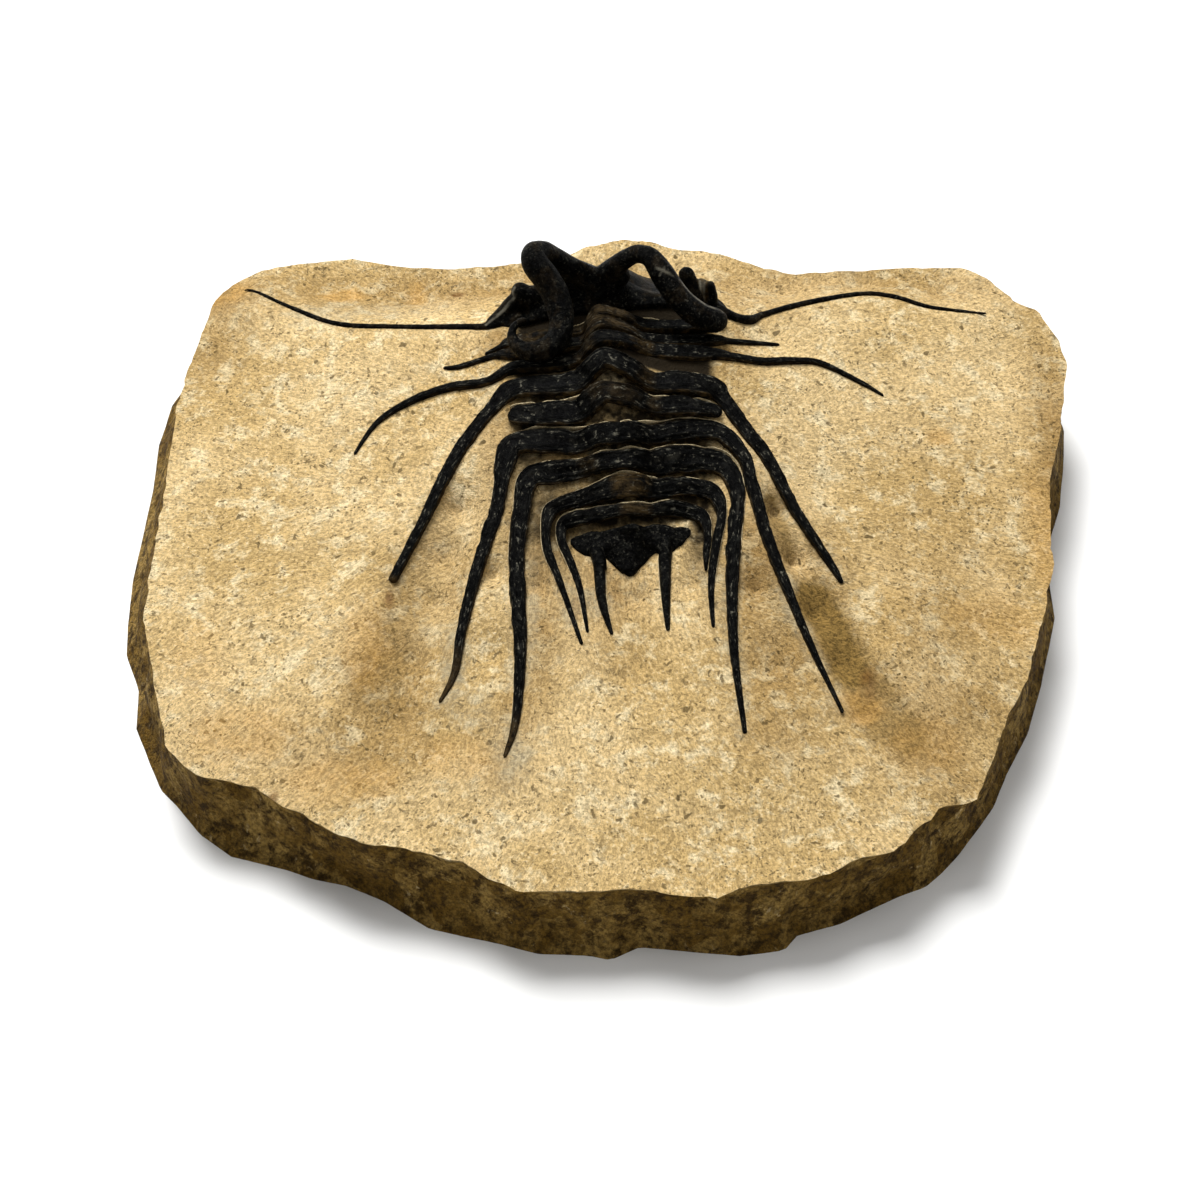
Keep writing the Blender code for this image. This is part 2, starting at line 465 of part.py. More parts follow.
def make_segment(index, ground, skin):
    path = smooth_route(ring_path(RINGS[index], LEFT_SPINES[index], RIGHT_SPINES[index]), SPINE_STEP)
    aside = np.abs(path[:, 0] - RINGS[index][CROWN][0])
    lean = lean_of_ring(index)
    share = np.clip((aside - LEVEL_FROM) / LEVEL_SPAN, 0, 1)[:, None]
    up = lean * (1 - share) + np.array([0, 0, 1]) * share
    rings = lift_clear(sweep(path, up), ground)
    return mesh_object(f"thorax_segment_{index + 1}", rings.reshape(-1, 3),
                       tube_faces(len(path), SIDES), skin)


def make_tube(name, route, skin, ground=None, step=SPINE_STEP):
    """A round horn or spine of changing width; it stays clear of the ground if one is given."""
    path = smooth_route(route, step)
    path = path if path.shape[1] == 5 else np.column_stack([path, path[:, 3]])
    along = directions_of(path)
    side = np.cross([0.0, 1.0, 0.1], along[0])
    ups = []
    for direction in along:
        side = side - direction * (side @ direction)
        side /= np.linalg.norm(side)
        ups.append(np.cross(side, direction))
    rings = sweep(path, np.array(ups))
    if ground is not None:
        rings = lift_clear(rings, ground)
    return mesh_object(name, rings.reshape(-1, 3), tube_faces(len(path), SIDES), skin)


def make_shield(name, outline, centre, dome, rings, spokes, lobes, ground, skin):
    """A domed plate with a given outline whose underside follows the rock just below it."""
    edge = closed_loop(outline, spokes)
    centre = np.array(centre)
    middle = edge[:, 2].mean()
    top, under = [], []
    for i in range(rings + 1):
        share = i / rings
        flat = centre + (edge[:, :2] - centre) * share
        high = middle * (1 - share) + edge[:, 2] * share + dome * (1 - share ** 2)
        for lobe in lobes:
            span = (flat - lobe["at"]) / lobe["size"]
            swell = np.exp(-(span ** 2).sum(axis=1) * LOBE_FALL)
            high = high + lobe["height"] * swell * (1 - share ** EDGE_HOLD)
        rows = np.column_stack([flat, high])
        top.append(rows if i else rows[:1])
    for rows in top:
        low = rows.copy()
        for p in low:
            hit = ground.ray_cast(Vector((p[0], p[1], 90)), Vector((0, 0, -1)))[0]
            p[2] = min(p[2] - SHIELD_EDGE, hit.z + CLEARANCE + SHIELD_LIFT)
        under.append(low)
    return shield_mesh(name, top, under, rings, spokes, skin)


def shield_mesh(name, top, under, rings, spokes, skin):
    points = np.concatenate(top + under)
    half = 1 + rings * spokes
    faces = []
    for start, turn in ((0, 1), (half, -1)):
        for j in range(spokes):
            k = (j + 1) % spokes
            faces.append((start, start + 1 + j, start + 1 + k)[::turn])
            for i in range(rings - 1):
                a, b = start + 1 + i * spokes, start + 1 + (i + 1) * spokes
                faces.append((a + j, b + j, b + k, a + k)[::turn])
    edge = 1 + (rings - 1) * spokes
    for j in range(spokes):
        k = (j + 1) % spokes
        faces.append((edge + j, half + edge + j, half + edge + k, edge + k))
    return mesh_object(name, points, faces, skin)


def join_to(body, others):
    """Unions helper shapes into one body; each helper stays hidden."""
    for other in others:
        other.hide_render = True
        other.display_type = "WIRE"
        joint = body.modifiers.new("join " + other.name, "BOOLEAN")
        joint.operation = "UNION"
        joint.solver = "EXACT"
        joint.object = other


def make_cephalon(ground, skin):
    shield = make_shield("cephalon", HEAD_OUTLINE, HEAD_CENTRE, HEAD_DOME, HEAD_RINGS, HEAD_SPOKES,
                         HEAD_LOBES, ground, skin)
    parts = [
        make_tube("genal_spine_left", GENAL_LEFT, skin, ground),
        make_tube("genal_spine_right", GENAL_RIGHT, skin, ground),
        make_tube("eye_right_middle", EYE_RIGHT_MIDDLE, skin, step=EYE_STEP),
        make_tube("eye_right_inner", EYE_RIGHT_INNER, skin, step=EYE_STEP),
        make_tube("eye_right_outer", EYE_RIGHT_OUTER, skin, step=EYE_STEP),
        make_tube("cheek_left", CHEEK_LEFT, skin, step=SPINE_STEP),
        make_tube("cheek_edge", CHEEK_EDGE, skin, step=SPINE_STEP),
        make_tube("eye_left", EYE_LEFT, skin, step=EYE_STEP),
        make_tube("horn_trunk", HORN_TRUNK, skin, step=EYE_STEP),
        make_tube("web_left", WEB_LEFT, skin, step=SPINE_STEP),
        make_tube("web_right", WEB_RIGHT, skin, step=SPINE_STEP),
        make_tube("horn_left", HORN_LEFT, skin, step=HORN_STEP),
        make_tube("horn_right", HORN_RIGHT, skin, step=HORN_STEP),
    ]
    join_to(shield, parts)
    return shield


def make_pygidium(ground, skin):
    shield = make_shield("pygidium", TAIL_OUTLINE, TAIL_CENTRE, TAIL_DOME, TAIL_RINGS, TAIL_SPOKES,
                         [], ground, skin)
    join_to(shield, [
        make_tube("tail_spine_left", TAIL_SPINE_LEFT, skin, ground),
        make_tube("tail_spine_right", TAIL_SPINE_RIGHT, skin, ground),
    ])
    return shield


def main():
    for old in list(bpy.data.objects):
        bpy.data.objects.remove(old, do_unlink=True)
    stone = material("limestone", (0.62, 0.47, 0.26), 0.9)
    shell = material("black_shell", (0.02, 0.021, 0.022), 0.45)
    ground = make_matrix(stone)[1]
    make_cephalon(ground, shell)
    for index in range(len(RINGS)):
        make_segment(index, ground, shell)
    make_pygidium(ground, shell)


main()
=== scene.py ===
import math
import bpy
import numpy as np
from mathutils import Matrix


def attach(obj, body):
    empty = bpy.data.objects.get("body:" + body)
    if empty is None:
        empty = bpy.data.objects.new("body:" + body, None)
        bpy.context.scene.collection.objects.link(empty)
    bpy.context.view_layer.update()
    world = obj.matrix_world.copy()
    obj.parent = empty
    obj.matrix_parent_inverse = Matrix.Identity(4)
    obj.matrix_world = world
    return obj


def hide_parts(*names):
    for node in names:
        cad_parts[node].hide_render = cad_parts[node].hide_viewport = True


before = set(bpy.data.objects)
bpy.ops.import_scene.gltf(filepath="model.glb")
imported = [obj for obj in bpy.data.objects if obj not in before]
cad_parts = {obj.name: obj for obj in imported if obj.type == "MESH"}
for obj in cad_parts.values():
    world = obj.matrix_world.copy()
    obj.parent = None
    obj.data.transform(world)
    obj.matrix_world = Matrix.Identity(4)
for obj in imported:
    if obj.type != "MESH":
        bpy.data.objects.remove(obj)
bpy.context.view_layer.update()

mm = 0.001

# The block: upper edge (x, y, z) and lower edge (x, y), anticlockwise from the front middle,
# and the low places between the spines
block = {
    "rim": [
        (-0.5, -51.5, 10.6), (4, -51.3, 10.6), (7, -52.2, 10.6), (12, -52.5, 10.6),
        (14, -51.3, 10.7), (18.5, -50.4, 10.7), (23, -50.2, 10.7), (26, -48.5, 10.7),
        (29.5, -46.8, 10.8), (33, -46.2, 10.8), (35, -44.2, 10.8), (39, -40, 10.8),
        (43.5, -39, 10.8), (45.6, -34.6, 11), (47, -31, 11.1), (48.7, -27, 11.2),
        (52, -20.6, 11.6), (54.6, -13, 12), (55.8, -8.5, 12.2), (57.5, -2, 12.5), (58, 5, 12.8),
        (58.8, 12, 13), (61, 19, 13.2), (62.5, 26.5, 13.4), (64, 33.5, 13.6), (63.2, 38, 14),
        (61, 43.8, 14.4), (57.7, 45.7, 14.6), (54.5, 50, 15), (51, 51.8, 15.4), (42.3, 51.4, 15.8),
        (33, 50.5, 16), (26.3, 49.6, 16.2), (21.3, 50.7, 16.6), (15.6, 52.6, 17.4),
        (12.7, 52.8, 17.8), (8.6, 52.7, 18.4), (5.5, 53.8, 18.8), (1, 54.2, 18.8),
        (-1.8, 53.8, 18.4), (-5.4, 52.8, 17.8), (-7.2, 52, 17), (-16, 51.5, 16.3), (-25, 51, 16),
        (-33, 52, 15.8), (-38, 53.5, 15.8), (-45.3, 52.7, 15.4), (-51.3, 51.6, 15),
        (-55, 49, 14.6), (-57.2, 46, 14.4), (-58.5, 39, 14.2), (-59.5, 32, 13.8),
        (-60.2, 26, 13.6), (-60.2, 15, 13.2), (-60.2, 5, 12.8), (-60.3, -5, 12.5), (-60, -12, 12.2),
        (-59, -16, 12), (-57.9, -20.5, 11.7), (-56.5, -25.5, 11.4), (-55.1, -31, 11),
        (-52.5, -33.5, 10.8), (-50.5, -35.2, 10.7), (-47, -36, 10.7), (-43.7, -36.8, 10.7),
        (-41.3, -38.7, 10.7), (-37, -41, 10.7), (-33.3, -43.6, 10.7), (-28.4, -45.2, 10.7),
        (-24, -46, 10.7), (-20.5, -46.8, 10.7), (-18, -47.5, 10.6), (-15, -49.7, 10.6),
        (-11, -51.7, 10.6),
    ],
    "base": [
        (-0.5, -54.3), (3, -52.5), (8, -53), (15, -53.7), (20.3, -52.9), (22, -50.8), (27, -49.4),
        (31, -47.3), (35, -45.3), (38, -44), (40, -42.2), (42.5, -39.3), (45.3, -35.5), (47.8, -32),
        (50, -27), (53.5, -20.5), (56.2, -13), (57.6, -8), (59.5, -1.5), (59.7, 5), (60.5, 12),
        (63, 19), (64.6, 27), (65.6, 34), (64.8, 39), (62.6, 45), (58.6, 47.2), (55.3, 51.3),
        (51, 53), (42, 52.4), (33, 51.7), (26, 51), (20.5, 52), (13, 53.6), (5, 54.3), (-4, 54),
        (-8, 53), (-16, 52.6), (-25, 52.2), (-33, 53.1), (-38, 54.3), (-46, 53.8), (-53, 53),
        (-58.5, 50), (-61.8, 46), (-64.5, 39), (-65.4, 31), (-65, 22), (-65.3, 14), (-65.6, 5),
        (-65.2, -3), (-64.6, -8), (-62.2, -13.6), (-61.7, -20), (-59.2, -25.6), (-57.3, -29.5),
        (-55, -32), (-51.5, -36.3), (-47.3, -39.6), (-40, -41.7), (-37, -42.9), (-33, -43.8),
        (-28, -46), (-22.3, -50), (-13.7, -52), (-9, -53.4), (-3, -53.7),
    ],
    "valleys": [
        (-28, 45, 14.6), (-42, 47, 14.6), (-17, 46, 15.6), (24, 45.5, 15.6), (36, 48, 15),
        (47, 47, 14.8), (-44, 26, 15.4), (45, 26, 15.4), (-52, 36, 15), (54, 34, 14.6),
        (-40, 5, 14.4), (42, 5, 14.4), (-37, -3, 14.0), (38, -3, 14.2), (-29, 8, 15.4), (29, 8, 15.6),
        (-15.5, -6, 13.6), (-15.5, -18, 12.3), (18.3, -8, 13.2), (20, -20, 12.0),
        (-10, -8, 13.9), (9.6, -8, 13.7), (3, -9, 12.9), (2, -20, 12.2), (0, -32, 11.7),
    ],
    # scooped trough between the fourth and sixth spine on each side, then the ridge outside it
    "troughs": [
        (-20.4, 5, 14.0), (-22.0, -2, 12.6), (-23.4, -9, 11.8), (-24.8, -18, 11.4), (-26.4, -27, 11.2),
        (21.0, 4, 14.2), (23.0, -3, 12.6), (25.4, -11, 11.7), (28.0, -19, 11.3), (31.0, -27, 11.2),
    ],
    "ridges": [
        (-30.2, -11, 14.4), (-32.0, -18, 14.0), (-33.8, -27, 13.0), (-42, -16, 13.0),
        (31.0, -13, 14.7), (33.8, -19, 14.3), (36.6, -25.4, 13.4), (44, -10, 13.4), (44, -26, 12.4),
    ],
    "middle": (0.5, 12.0),       # the grid's rings are finest round this point
    "spokes": 450,
    "rings": 196,
    "ringPower": 1.22,
    # waves of the top: height and size, from broad to fine, the last between the rings only
    "swell": (0.45, 11), "ripple": (0.16, 3.2), "grit": (0.07, 1.3), "gapGrit": (0.16, 0.9),
    "underPlates": 0.12,         # share of the waves left beside a plate
    "sunk": 0.12,                # share of a plate's thickness that the rock stands under its middle
    "gapDepth": 0.55,            # how far the rock is cut back between two rings
    "gapReach": (3.6, 2.0),      # distance to the second nearest ring where a gap begins, and is full
    "gapSides": (14.5, 12.0),    # distance from the middle line where the gaps end
    "gapBack": (-8, -1),         # place along the body where they begin, and are full
    "jag": (0.35, 1.8),          # depth and size of the notches along the upper edge
    # broken wall: rows, depth in all, then the depth, length and height of the large and small facets
    "wallRows": 15, "wallChips": 1.7, "wallGrit": (0.12, 1.2), "chipSlant": 23,
    "bigChips": (0.75, 6.5, 6.0), "smallChips": (0.35, 2.6, 2.8),
    # pale edge left standing in front of each plate
    "lipHeight": 0.38, "lipWidth": 0.08, "lipStep": 0.22, "lipSides": 8,
}

# Body rings, front to back: middle line of each, (x, y, z, width), at the left corner, left half,
# left furrow, crown, right furrow, right half and right corner
thorax = {
    "rings": [
        [(-13.4, 28.9, 22.2, 2.0), (-8.8, 29.3, 22.9, 2.2), (-4.3, 29.9, 23.2, 2.2),
         (-1.6, 30.6, 26.2, 2.2),
         (4.3, 31.0, 23.3, 2.1), (8.5, 31.2, 22.9, 2.1), (13.8, 32.0, 22.6, 1.6)],
        [(-13.4, 26.1, 22.7, 2.0), (-8.8, 26.4, 23.6, 2.2), (-4.2, 26.9, 23.9, 2.3),
         (-1.6, 27.6, 26.9, 2.3),
         (4.5, 27.7, 23.9, 2.0), (8.8, 27.5, 23.6, 1.9), (13.6, 28.4, 22.9, 1.6)],
        [(-13.1, 23.1, 22.9, 1.6), (-8.0, 22.4, 24.1, 1.8), (-4.6, 23.3, 24.3, 2.2),
         (-1.5, 24.1, 27.5, 2.4),
         (5.0, 25.0, 24.4, 2.4), (8.8, 24.8, 24.1, 2.3), (13.3, 25.5, 23.2, 1.9)],
        [(-13.0, 19.5, 22.6, 3.1), (-8.0, 18.6, 24.1, 3.2), (-4.6, 18.9, 24.4, 3.3),
         (-1.0, 20.2, 27.5, 3.0),
         (5.2, 18.9, 24.4, 2.9), (9.0, 19.3, 24.1, 3.3), (13.0, 19.5, 22.8, 3.4)],
        [(-13.0, 15.7, 21.4, 2.8), (-8.0, 14.6, 22.9, 3.4), (-4.6, 14.6, 23.2, 3.6),
         (-0.9, 15.1, 26.3, 3.2),
         (5.2, 15.5, 23.4, 2.5), (9.0, 16.0, 22.9, 2.6), (13.0, 16.4, 21.7, 2.0)],
        [(-13.3, 11.4, 20.0, 3.2), (-8.0, 11.5, 20.9, 3.3), (-4.8, 10.9, 21.2, 3.2),
         (0.6, 9.8, 24.1, 3.0),
         (5.2, 12.0, 21.4, 2.9), (9.0, 13.4, 21.0, 2.7), (14.0, 13.7, 20.2, 2.5)],
        [(-10.9, 7.0, 18.4, 2.8), (-7.0, 7.4, 19.4, 3.0), (-4.6, 7.4, 19.8, 2.6),
         (1.0, 6.9, 22.1, 2.6),
         (5.2, 8.2, 20.2, 3.3), (9.0, 9.6, 19.5, 3.7), (14.1, 9.7, 18.3, 3.1)],
        [(-8.2, 2.5, 17.1, 1.9), (-6.0, 3.1, 18.2, 2.3), (-4.0, 3.5, 18.5, 2.4),
         (1.7, 4.1, 20.3, 3.4),
         (5.2, 4.6, 19.0, 2.9), (9.0, 5.8, 18.3, 2.5), (13.0, 5.3, 17.5, 2.4)],
        [(-6.6, 0.8, 16.1, 1.6), (-5.0, 1.0, 17.2, 2.0), (-3.4, 1.2, 17.4, 2.1),
         (1.6, 1.3, 18.6, 1.7),
         (5.2, 1.9, 17.8, 1.8), (8.0, 2.7, 17.3, 2.3), (11.2, 2.2, 16.6, 2.0)],
    ],
    # Side spines: width at the root, width at the tip, route from the corner outward
    "leftSpines": [
        (0.8, 0.45, [(-15.4, 28.2, 21.7), (-17.4, 27.8, 20.9)]),
        (0.9, 0.4, [(-16.2, 26.8, 21.4), (-20.8, 26.5, 19.8), (-23.1, 26.9, 19.2)]),
        (1.3, 0.4, [(-16.9, 22.3, 21.0), (-22.3, 23.0, 19.2), (-27.7, 21.8, 17.6),
                    (-31.9, 18.9, 16.5), (-34.6, 14.1, 15.5)]),
        (1.9, 1.1, [(-15.8, 17.6, 21.0), (-19.2, 13.8, 19.0), (-22.1, 8.5, 17.3),
                    (-24.5, 2.5, 15.8), (-28.4, -7.1, 14.1)]),
        (2.2, 2.2, [(-13.9, 15.9, 21.2)]),
        (2.0, 0.4, [(-14.6, 5.7, 18.6), (-15.3, 1.5, 17.4), (-17.5, -6.5, 15.5),
                     (-19.1, -15.0, 14.1), (-19.8, -21.3, 13.3), (-21.5, -25.5, 12.9)]),
        (2.3, 0.45, [(-11.9, 2.2, 17.3), (-12.4, -4.4, 16.2), (-12.0, -12.2, 14.7),
                    (-11.7, -18.5, 13.7), (-12.0, -27.8, 12.7), (-13.3, -33.4, 12.3)]),
        (1.25, 0.45, [(-8.7, -0.5, 16.6), (-8.4, -3.5, 16.0), (-6.8, -8.1, 15.2),
                    (-4.0, -17.1, 13.8)]),
        (1.15, 0.4, [(-6.6, -1.6, 15.6), (-5.3, -5.1, 15.0), (-4.2, -9.0, 14.4),
                     (-3.3, -15.0, 13.6)]),
    ],
    "rightSpines": [
        (0.7, 0.7, [(15.5, 32.6, 22.0)]),
        (0.9, 0.4, [(16.0, 29.4, 21.7), (18.9, 30.1, 20.8), (22.9, 30.8, 19.8)]),
        (1.2, 0.35, [(16.1, 25.6, 22.4), (20.4, 26.2, 21.0), (24.6, 27.4, 20.0),
                     (28.5, 27.9, 19.0), (34.1, 25.8, 17.3), (36.9, 24.1, 16.6)]),
        (2.1, 0.5, [(14.9, 18.0, 21.5), (17.5, 14.3, 20.0), (20.2, 10.6, 18.6), (23.7, 3.1, 16.5),
                    (27.7, -4.2, 14.8), (29.2, -7.4, 14.3)]),
        (1.6, 1.6, [(14.0, 15.6, 21.2)]),
        (1.85, 0.45, [(17.0, 10.3, 19.3), (18.0, 6.7, 18.3), (19.8, -1.5, 16.4), (22.1, -9.1, 14.9),
                    (24.7, -17.5, 13.7), (28.0, -27.0, 12.8)]),
        (2.0, 0.55, [(16.1, 5.4, 17.6), (15.5, -1.5, 16.2), (15.0, -9.5, 14.9), (15.0, -18.4, 13.6),
                    (15.9, -30.0, 12.6)]),
        (1.3, 0.45, [(14.0, 2.2, 16.9), (13.3, -1.6, 16.2), (12.4, -8.0, 14.9),
                     (12.5, -14.4, 13.9)]),
        (1.1, 0.35, [(12.1, -0.2, 16.1), (11.9, -3.4, 15.4), (11.8, -5.9, 15.0)]),
    ],
    "thickness": 1.7,
    "taper": 1.7,                # over 1 keeps a spine's width further along it
    "shoulder": (0.48, 0.33),    # raised axis: shares of the way from crown to furrow, flat and down
    "step": 0.25,                # between two stations along a band
    "sides": 52,
    "pleuralFurrow": 0.4,        # depth of the groove along each side band, as a share of its height
    "squareness": 3.2,           # 2 is an oval section, more is squarer
    "lowered": 0.34,             # share of its height that a broad band's top loses against a spine's
    "frontRim": 0.16,            # sharp edge standing along the front of a band, in millimetres
    "striae": 0.09,              # fine lengthwise ribs
    "knobs": 0.11,
    # brown rock left on the bands: (ring, x from, x to, strength)
    "residues": [
        (0, -14.0, -5.0, 0.55), (0, -5.0, 2.5, 0.5), (1, -14.0, -9.0, 0.6), (1, -4.0, 3.0, 0.45),
        (2, -5.0, -2.6, 0.45), (2, 2.2, 5.2, 0.55), (3, 3.2, 5.2, 0.35), (4, -2.6, 3.2, 0.22),
        (4, 4.4, 6.0, 0.4), (7, 0.0, 4.4, 0.7), (8, 1.0, 4.6, 0.55), (6, -4.2, -2.0, 0.3),
    ],
    # spines that turn brown towards the tip, (ring, side): length of the brown end
    "brownTips": {(3, -1): 1.0, (5, -1): 9.0, (6, -1): 7.0},
}

# Head: shield outline from its back left corner round the front, lobes, spines, horns and eyes
head = {
    "outline": [
        (-14.4, 32.2, 22.0), (-15.2, 34.2, 21.4), (-14.0, 37.5, 21.0), (-11.0, 41.5, 20.0),
        (-6.5, 45.0, 18.6), (0.0, 46.5, 18.2), (6.5, 45.6, 18.6), (11.5, 42.8, 20.0),
        (14.8, 38.8, 21.0), (15.8, 36.4, 21.6), (15.2, 35.0, 22.2), (9.0, 34.7, 23.6),
        (4.0, 34.0, 24.2), (0.0, 33.3, 24.3), (-4.5, 32.9, 24.0), (-9.0, 32.8, 23.1),
    ],
    "centre": (0.2, 38.0),
    "dome": 1.9,
    "lobes": [
        dict(at=(0.4, 40.0), size=(4.4, 5.4), height=3.4),
        dict(at=(-8.4, 35.7), size=(4.6, 3.0), height=2.3),
        dict(at=(9.8, 37.0), size=(4.0, 3.4), height=1.8),
    ],
    "genalLeft": [
        (-12.0, 33.6, 22.4, 2.2), (-14.8, 33.4, 21.8, 1.5), (-17.2, 33.0, 21.2, 1.1),
        (-21.5, 34.0, 20.2, 0.9), (-29.5, 35.5, 18.8, 0.8), (-38.3, 37.6, 17.4, 0.8),
        (-45.0, 41.7, 16.5, 0.7), (-51.0, 46.0, 15.9, 0.5), (-52.8, 46.4, 15.7, 0.4),
    ],
    "genalRight": [
        (12.4, 36.0, 23.0, 2.2), (15.0, 34.8, 22.3, 1.6), (17.2, 34.1, 21.7, 1.3),
        (19.0, 34.5, 21.0, 1.5), (20.8, 36.0, 20.6, 1.0), (26.5, 39.3, 19.6, 0.9),
        (34.7, 42.9, 18.2, 0.8), (39.8, 43.0, 17.6, 0.8), (44.9, 41.5, 17.0, 0.7),
        (53.1, 41.0, 16.2, 0.4),
    ],
    # base of the horns and the eyes, (x, y, z, width, depth)
    "trunk": [
        (-1.9, 35.4, 22.6, 9.2, 3.4), (-2.2, 35.6, 24.6, 9.0, 3.2), (-2.4, 35.9, 26.2, 7.6, 3.0),
        (-2.3, 36.0, 27.6, 5.2, 2.6),
    ],
    "webLeft": [
        (-0.5, 36.0, 26.6, 4.4, 2.8), (-3.5, 36.0, 27.0, 5.2, 2.7), (-6.2, 35.9, 28.5, 5.4, 2.6),
        (-8.2, 35.6, 30.4, 4.4, 2.5),
    ],
    "webRight": [
        (-3.0, 36.0, 26.4, 4.4, 2.8), (-0.2, 36.0, 27.6, 4.8, 2.8), (1.7, 35.9, 29.4, 4.2, 2.8),
    ],
    "cheekLeft": [
        (-13.0, 35.4, 23.6, 3.8, 2.6), (-11.0, 35.7, 23.9, 4.3, 2.8), (-8.5, 35.8, 23.8, 4.5, 2.8),
        (-5.5, 35.9, 23.4, 4.6, 2.8),
    ],
    "cheekEdge": [
        (-12.8, 35.6, 24.6, 2.0), (-13.8, 35.1, 23.5, 2.3), (-15.2, 34.2, 22.4, 2.0),
        (-17.3, 33.2, 21.2, 1.2),
    ],
    "hornLeft": [
        (-2.0, 36.2, 27.3, 2.8), (-5.0, 36.0, 28.9, 2.8), (-7.6, 35.7, 31.1, 2.8),
        (-9.3, 35.0, 32.8, 3.0), (-10.6, 33.6, 33.6, 3.3), (-10.3, 32.3, 33.0, 3.6),
        (-8.9, 31.2, 31.4, 3.8), (-7.6, 29.6, 29.8, 3.7), (-6.9, 27.3, 28.1, 3.4),
        (-7.2, 24.9, 26.9, 3.2), (-9.0, 23.2, 26.3, 3.0), (-11.4, 22.8, 26.2, 2.6),
        (-13.2, 24.3, 26.5, 1.7), (-13.4, 26.0, 27.1, 1.1), (-12.5, 27.0, 27.6, 0.9),
        (-11.3, 27.2, 27.8, 0.7),
    ],
    "hornRight": [
        (-1.9, 36.2, 27.2, 2.8), (0.7, 35.9, 29.9, 2.7), (3.0, 35.8, 31.7, 2.5),
        (4.9, 34.7, 32.2, 2.7), (6.4, 33.0, 31.1, 3.3), (7.8, 31.5, 29.6, 3.3),
        (9.5, 30.2, 28.0, 3.4), (11.7, 29.4, 26.5, 3.5), (13.8, 29.6, 25.5, 3.4),
        (15.0, 30.6, 25.1, 2.9),
    ],
    "eyeLeft": [
        (-12.0, 35.3, 22.8, 4.2, 2.8), (-12.3, 35.6, 24.4, 3.5, 2.6), (-12.8, 35.9, 25.7, 2.5, 2.2),
        (-13.0, 36.0, 26.4, 1.7, 1.6),
    ],
    "eyeRightInner": [
        (11.8, 34.9, 22.8, 2.4, 2.4), (10.8, 36.0, 25.4, 2.4, 1.9), (9.6, 37.3, 28.2, 2.2, 1.2),
    ],
    "eyeRightOuter": [
        (13.6, 35.4, 22.4, 1.6, 2.0), (13.7, 35.8, 24.4, 1.3, 1.7), (13.2, 36.5, 26.4, 1.1, 1.2),
    ],
    "eyeRightMiddle": [
        (12.8, 36.2, 22.0, 2.4, 1.7), (12.4, 36.4, 24.6, 2.3, 1.3), (11.8, 36.9, 26.5, 1.8, 1.0),
    ],
    # pale scratches and worn edges: route, reach and strength
    "scratches": [
        ([(5.6, 32.2, 32.6), (8.2, 31.5, 31.7)], 0.26, 0.3),
        ([(6.2, 31.6, 31.7), (7.0, 32.4, 32.8)], 0.26, 0.3),
        ([(9.0, 31.7, 30.8), (10.8, 30.5, 29.2), (12.9, 29.8, 27.7), (14.9, 30.2, 26.6)],
         0.3, 0.35),
        ([(-13.0, 35.0, 25.5), (-14.0, 34.4, 24.4), (-15.4, 33.5, 23.2), (-17.4, 32.8, 21.8)],
         0.3, 0.45),
        ([(-13.4, 35.4, 26.6), (-13.6, 35.3, 25.6), (-13.3, 34.9, 25.0)], 0.36, 0.6),
    ],
    "voxel": 0.21,
}

tail = {
    "outline": [
        (-5.6, -0.9, 15.5), (-5.0, -2.1, 15.2), (-3.4, -3.2, 15.0), (-1.2, -3.4, 14.9),
        (0.3, -4.5, 14.6), (2.1, -6.0, 14.3), (3.8, -4.6, 14.7), (5.0, -3.2, 15.0),
        (7.2, -3.0, 15.2), (8.9, -1.8, 15.7), (10.2, 0.2, 16.1), (7.5, 0.5, 16.6),
        (2.3, -0.5, 17.4), (-3.4, -0.4, 16.2),
    ],
    "centre": (2.2, -1.9),
    "dome": 0.9,
    "lobes": [
        dict(at=(2.2, -1.2), size=(2.1, 2.6), height=0.9),
        dict(at=(-2.6, -1.5), size=(1.7, 1.0), height=0.35),
        dict(at=(7.0, -0.9), size=(1.7, 1.0), height=0.35),
    ],
    "spineLeft": [
        (-2.4, -1.8, 15.7, 1.7), (-1.9, -4.8, 15.1, 1.6), (-1.5, -10.4, 14.4, 1.2),
        (-0.2, -15.5, 13.7, 0.45),
    ],
    "spineRight": [
        (6.6, -0.8, 16.0, 1.9), (6.6, -3.6, 15.4, 1.7), (6.6, -9.5, 14.5, 1.25),
        (6.8, -15.0, 13.9, 0.5),
    ],
    "voxel": 0.15,
}

studio = {
    "cameraAt": (-1.75, -187.58, 225.69),
    "cameraTilt": 40.0,
    "lens": 65.25,
    "floorHalf": 3.0,            # metres
    "floorTone": (0.86, 0.86, 0.85),
    "worldTone": (1.0, 0.99, 0.97),
    "worldStrength": 0.24,
    "lights": [
        # name, place, aim, size and power
        ("keyLight", (-220, 640, 1000), (0, 0, 15), 480, 22.0),
        ("topLight", (60, 60, 620), (0, 5, 15), 420, 0.9),
    ],
}


# 0 before the start and 1 past the full value, even in between; the two may stand either way round
def ramp(value, start, full):
    return np.clip((value - start) / (full - start), 0, 1)


# Repeatable numbers from 0 to 1 for whole-number cells
def cellValue(ix, iy, iz, seed):
    n = ix * 374761393 + iy * 668265263 + iz * 1440662683 + seed * 1274126177
    n = n & 0xffffffff
    n = ((n ^ (n >> 13)) * 1274126177) & 0xffffffff
    n = ((n ^ (n >> 16)) * 2246822519) & 0xffffffff
    return ((n >> 8) & 0xffff) / 65535.0


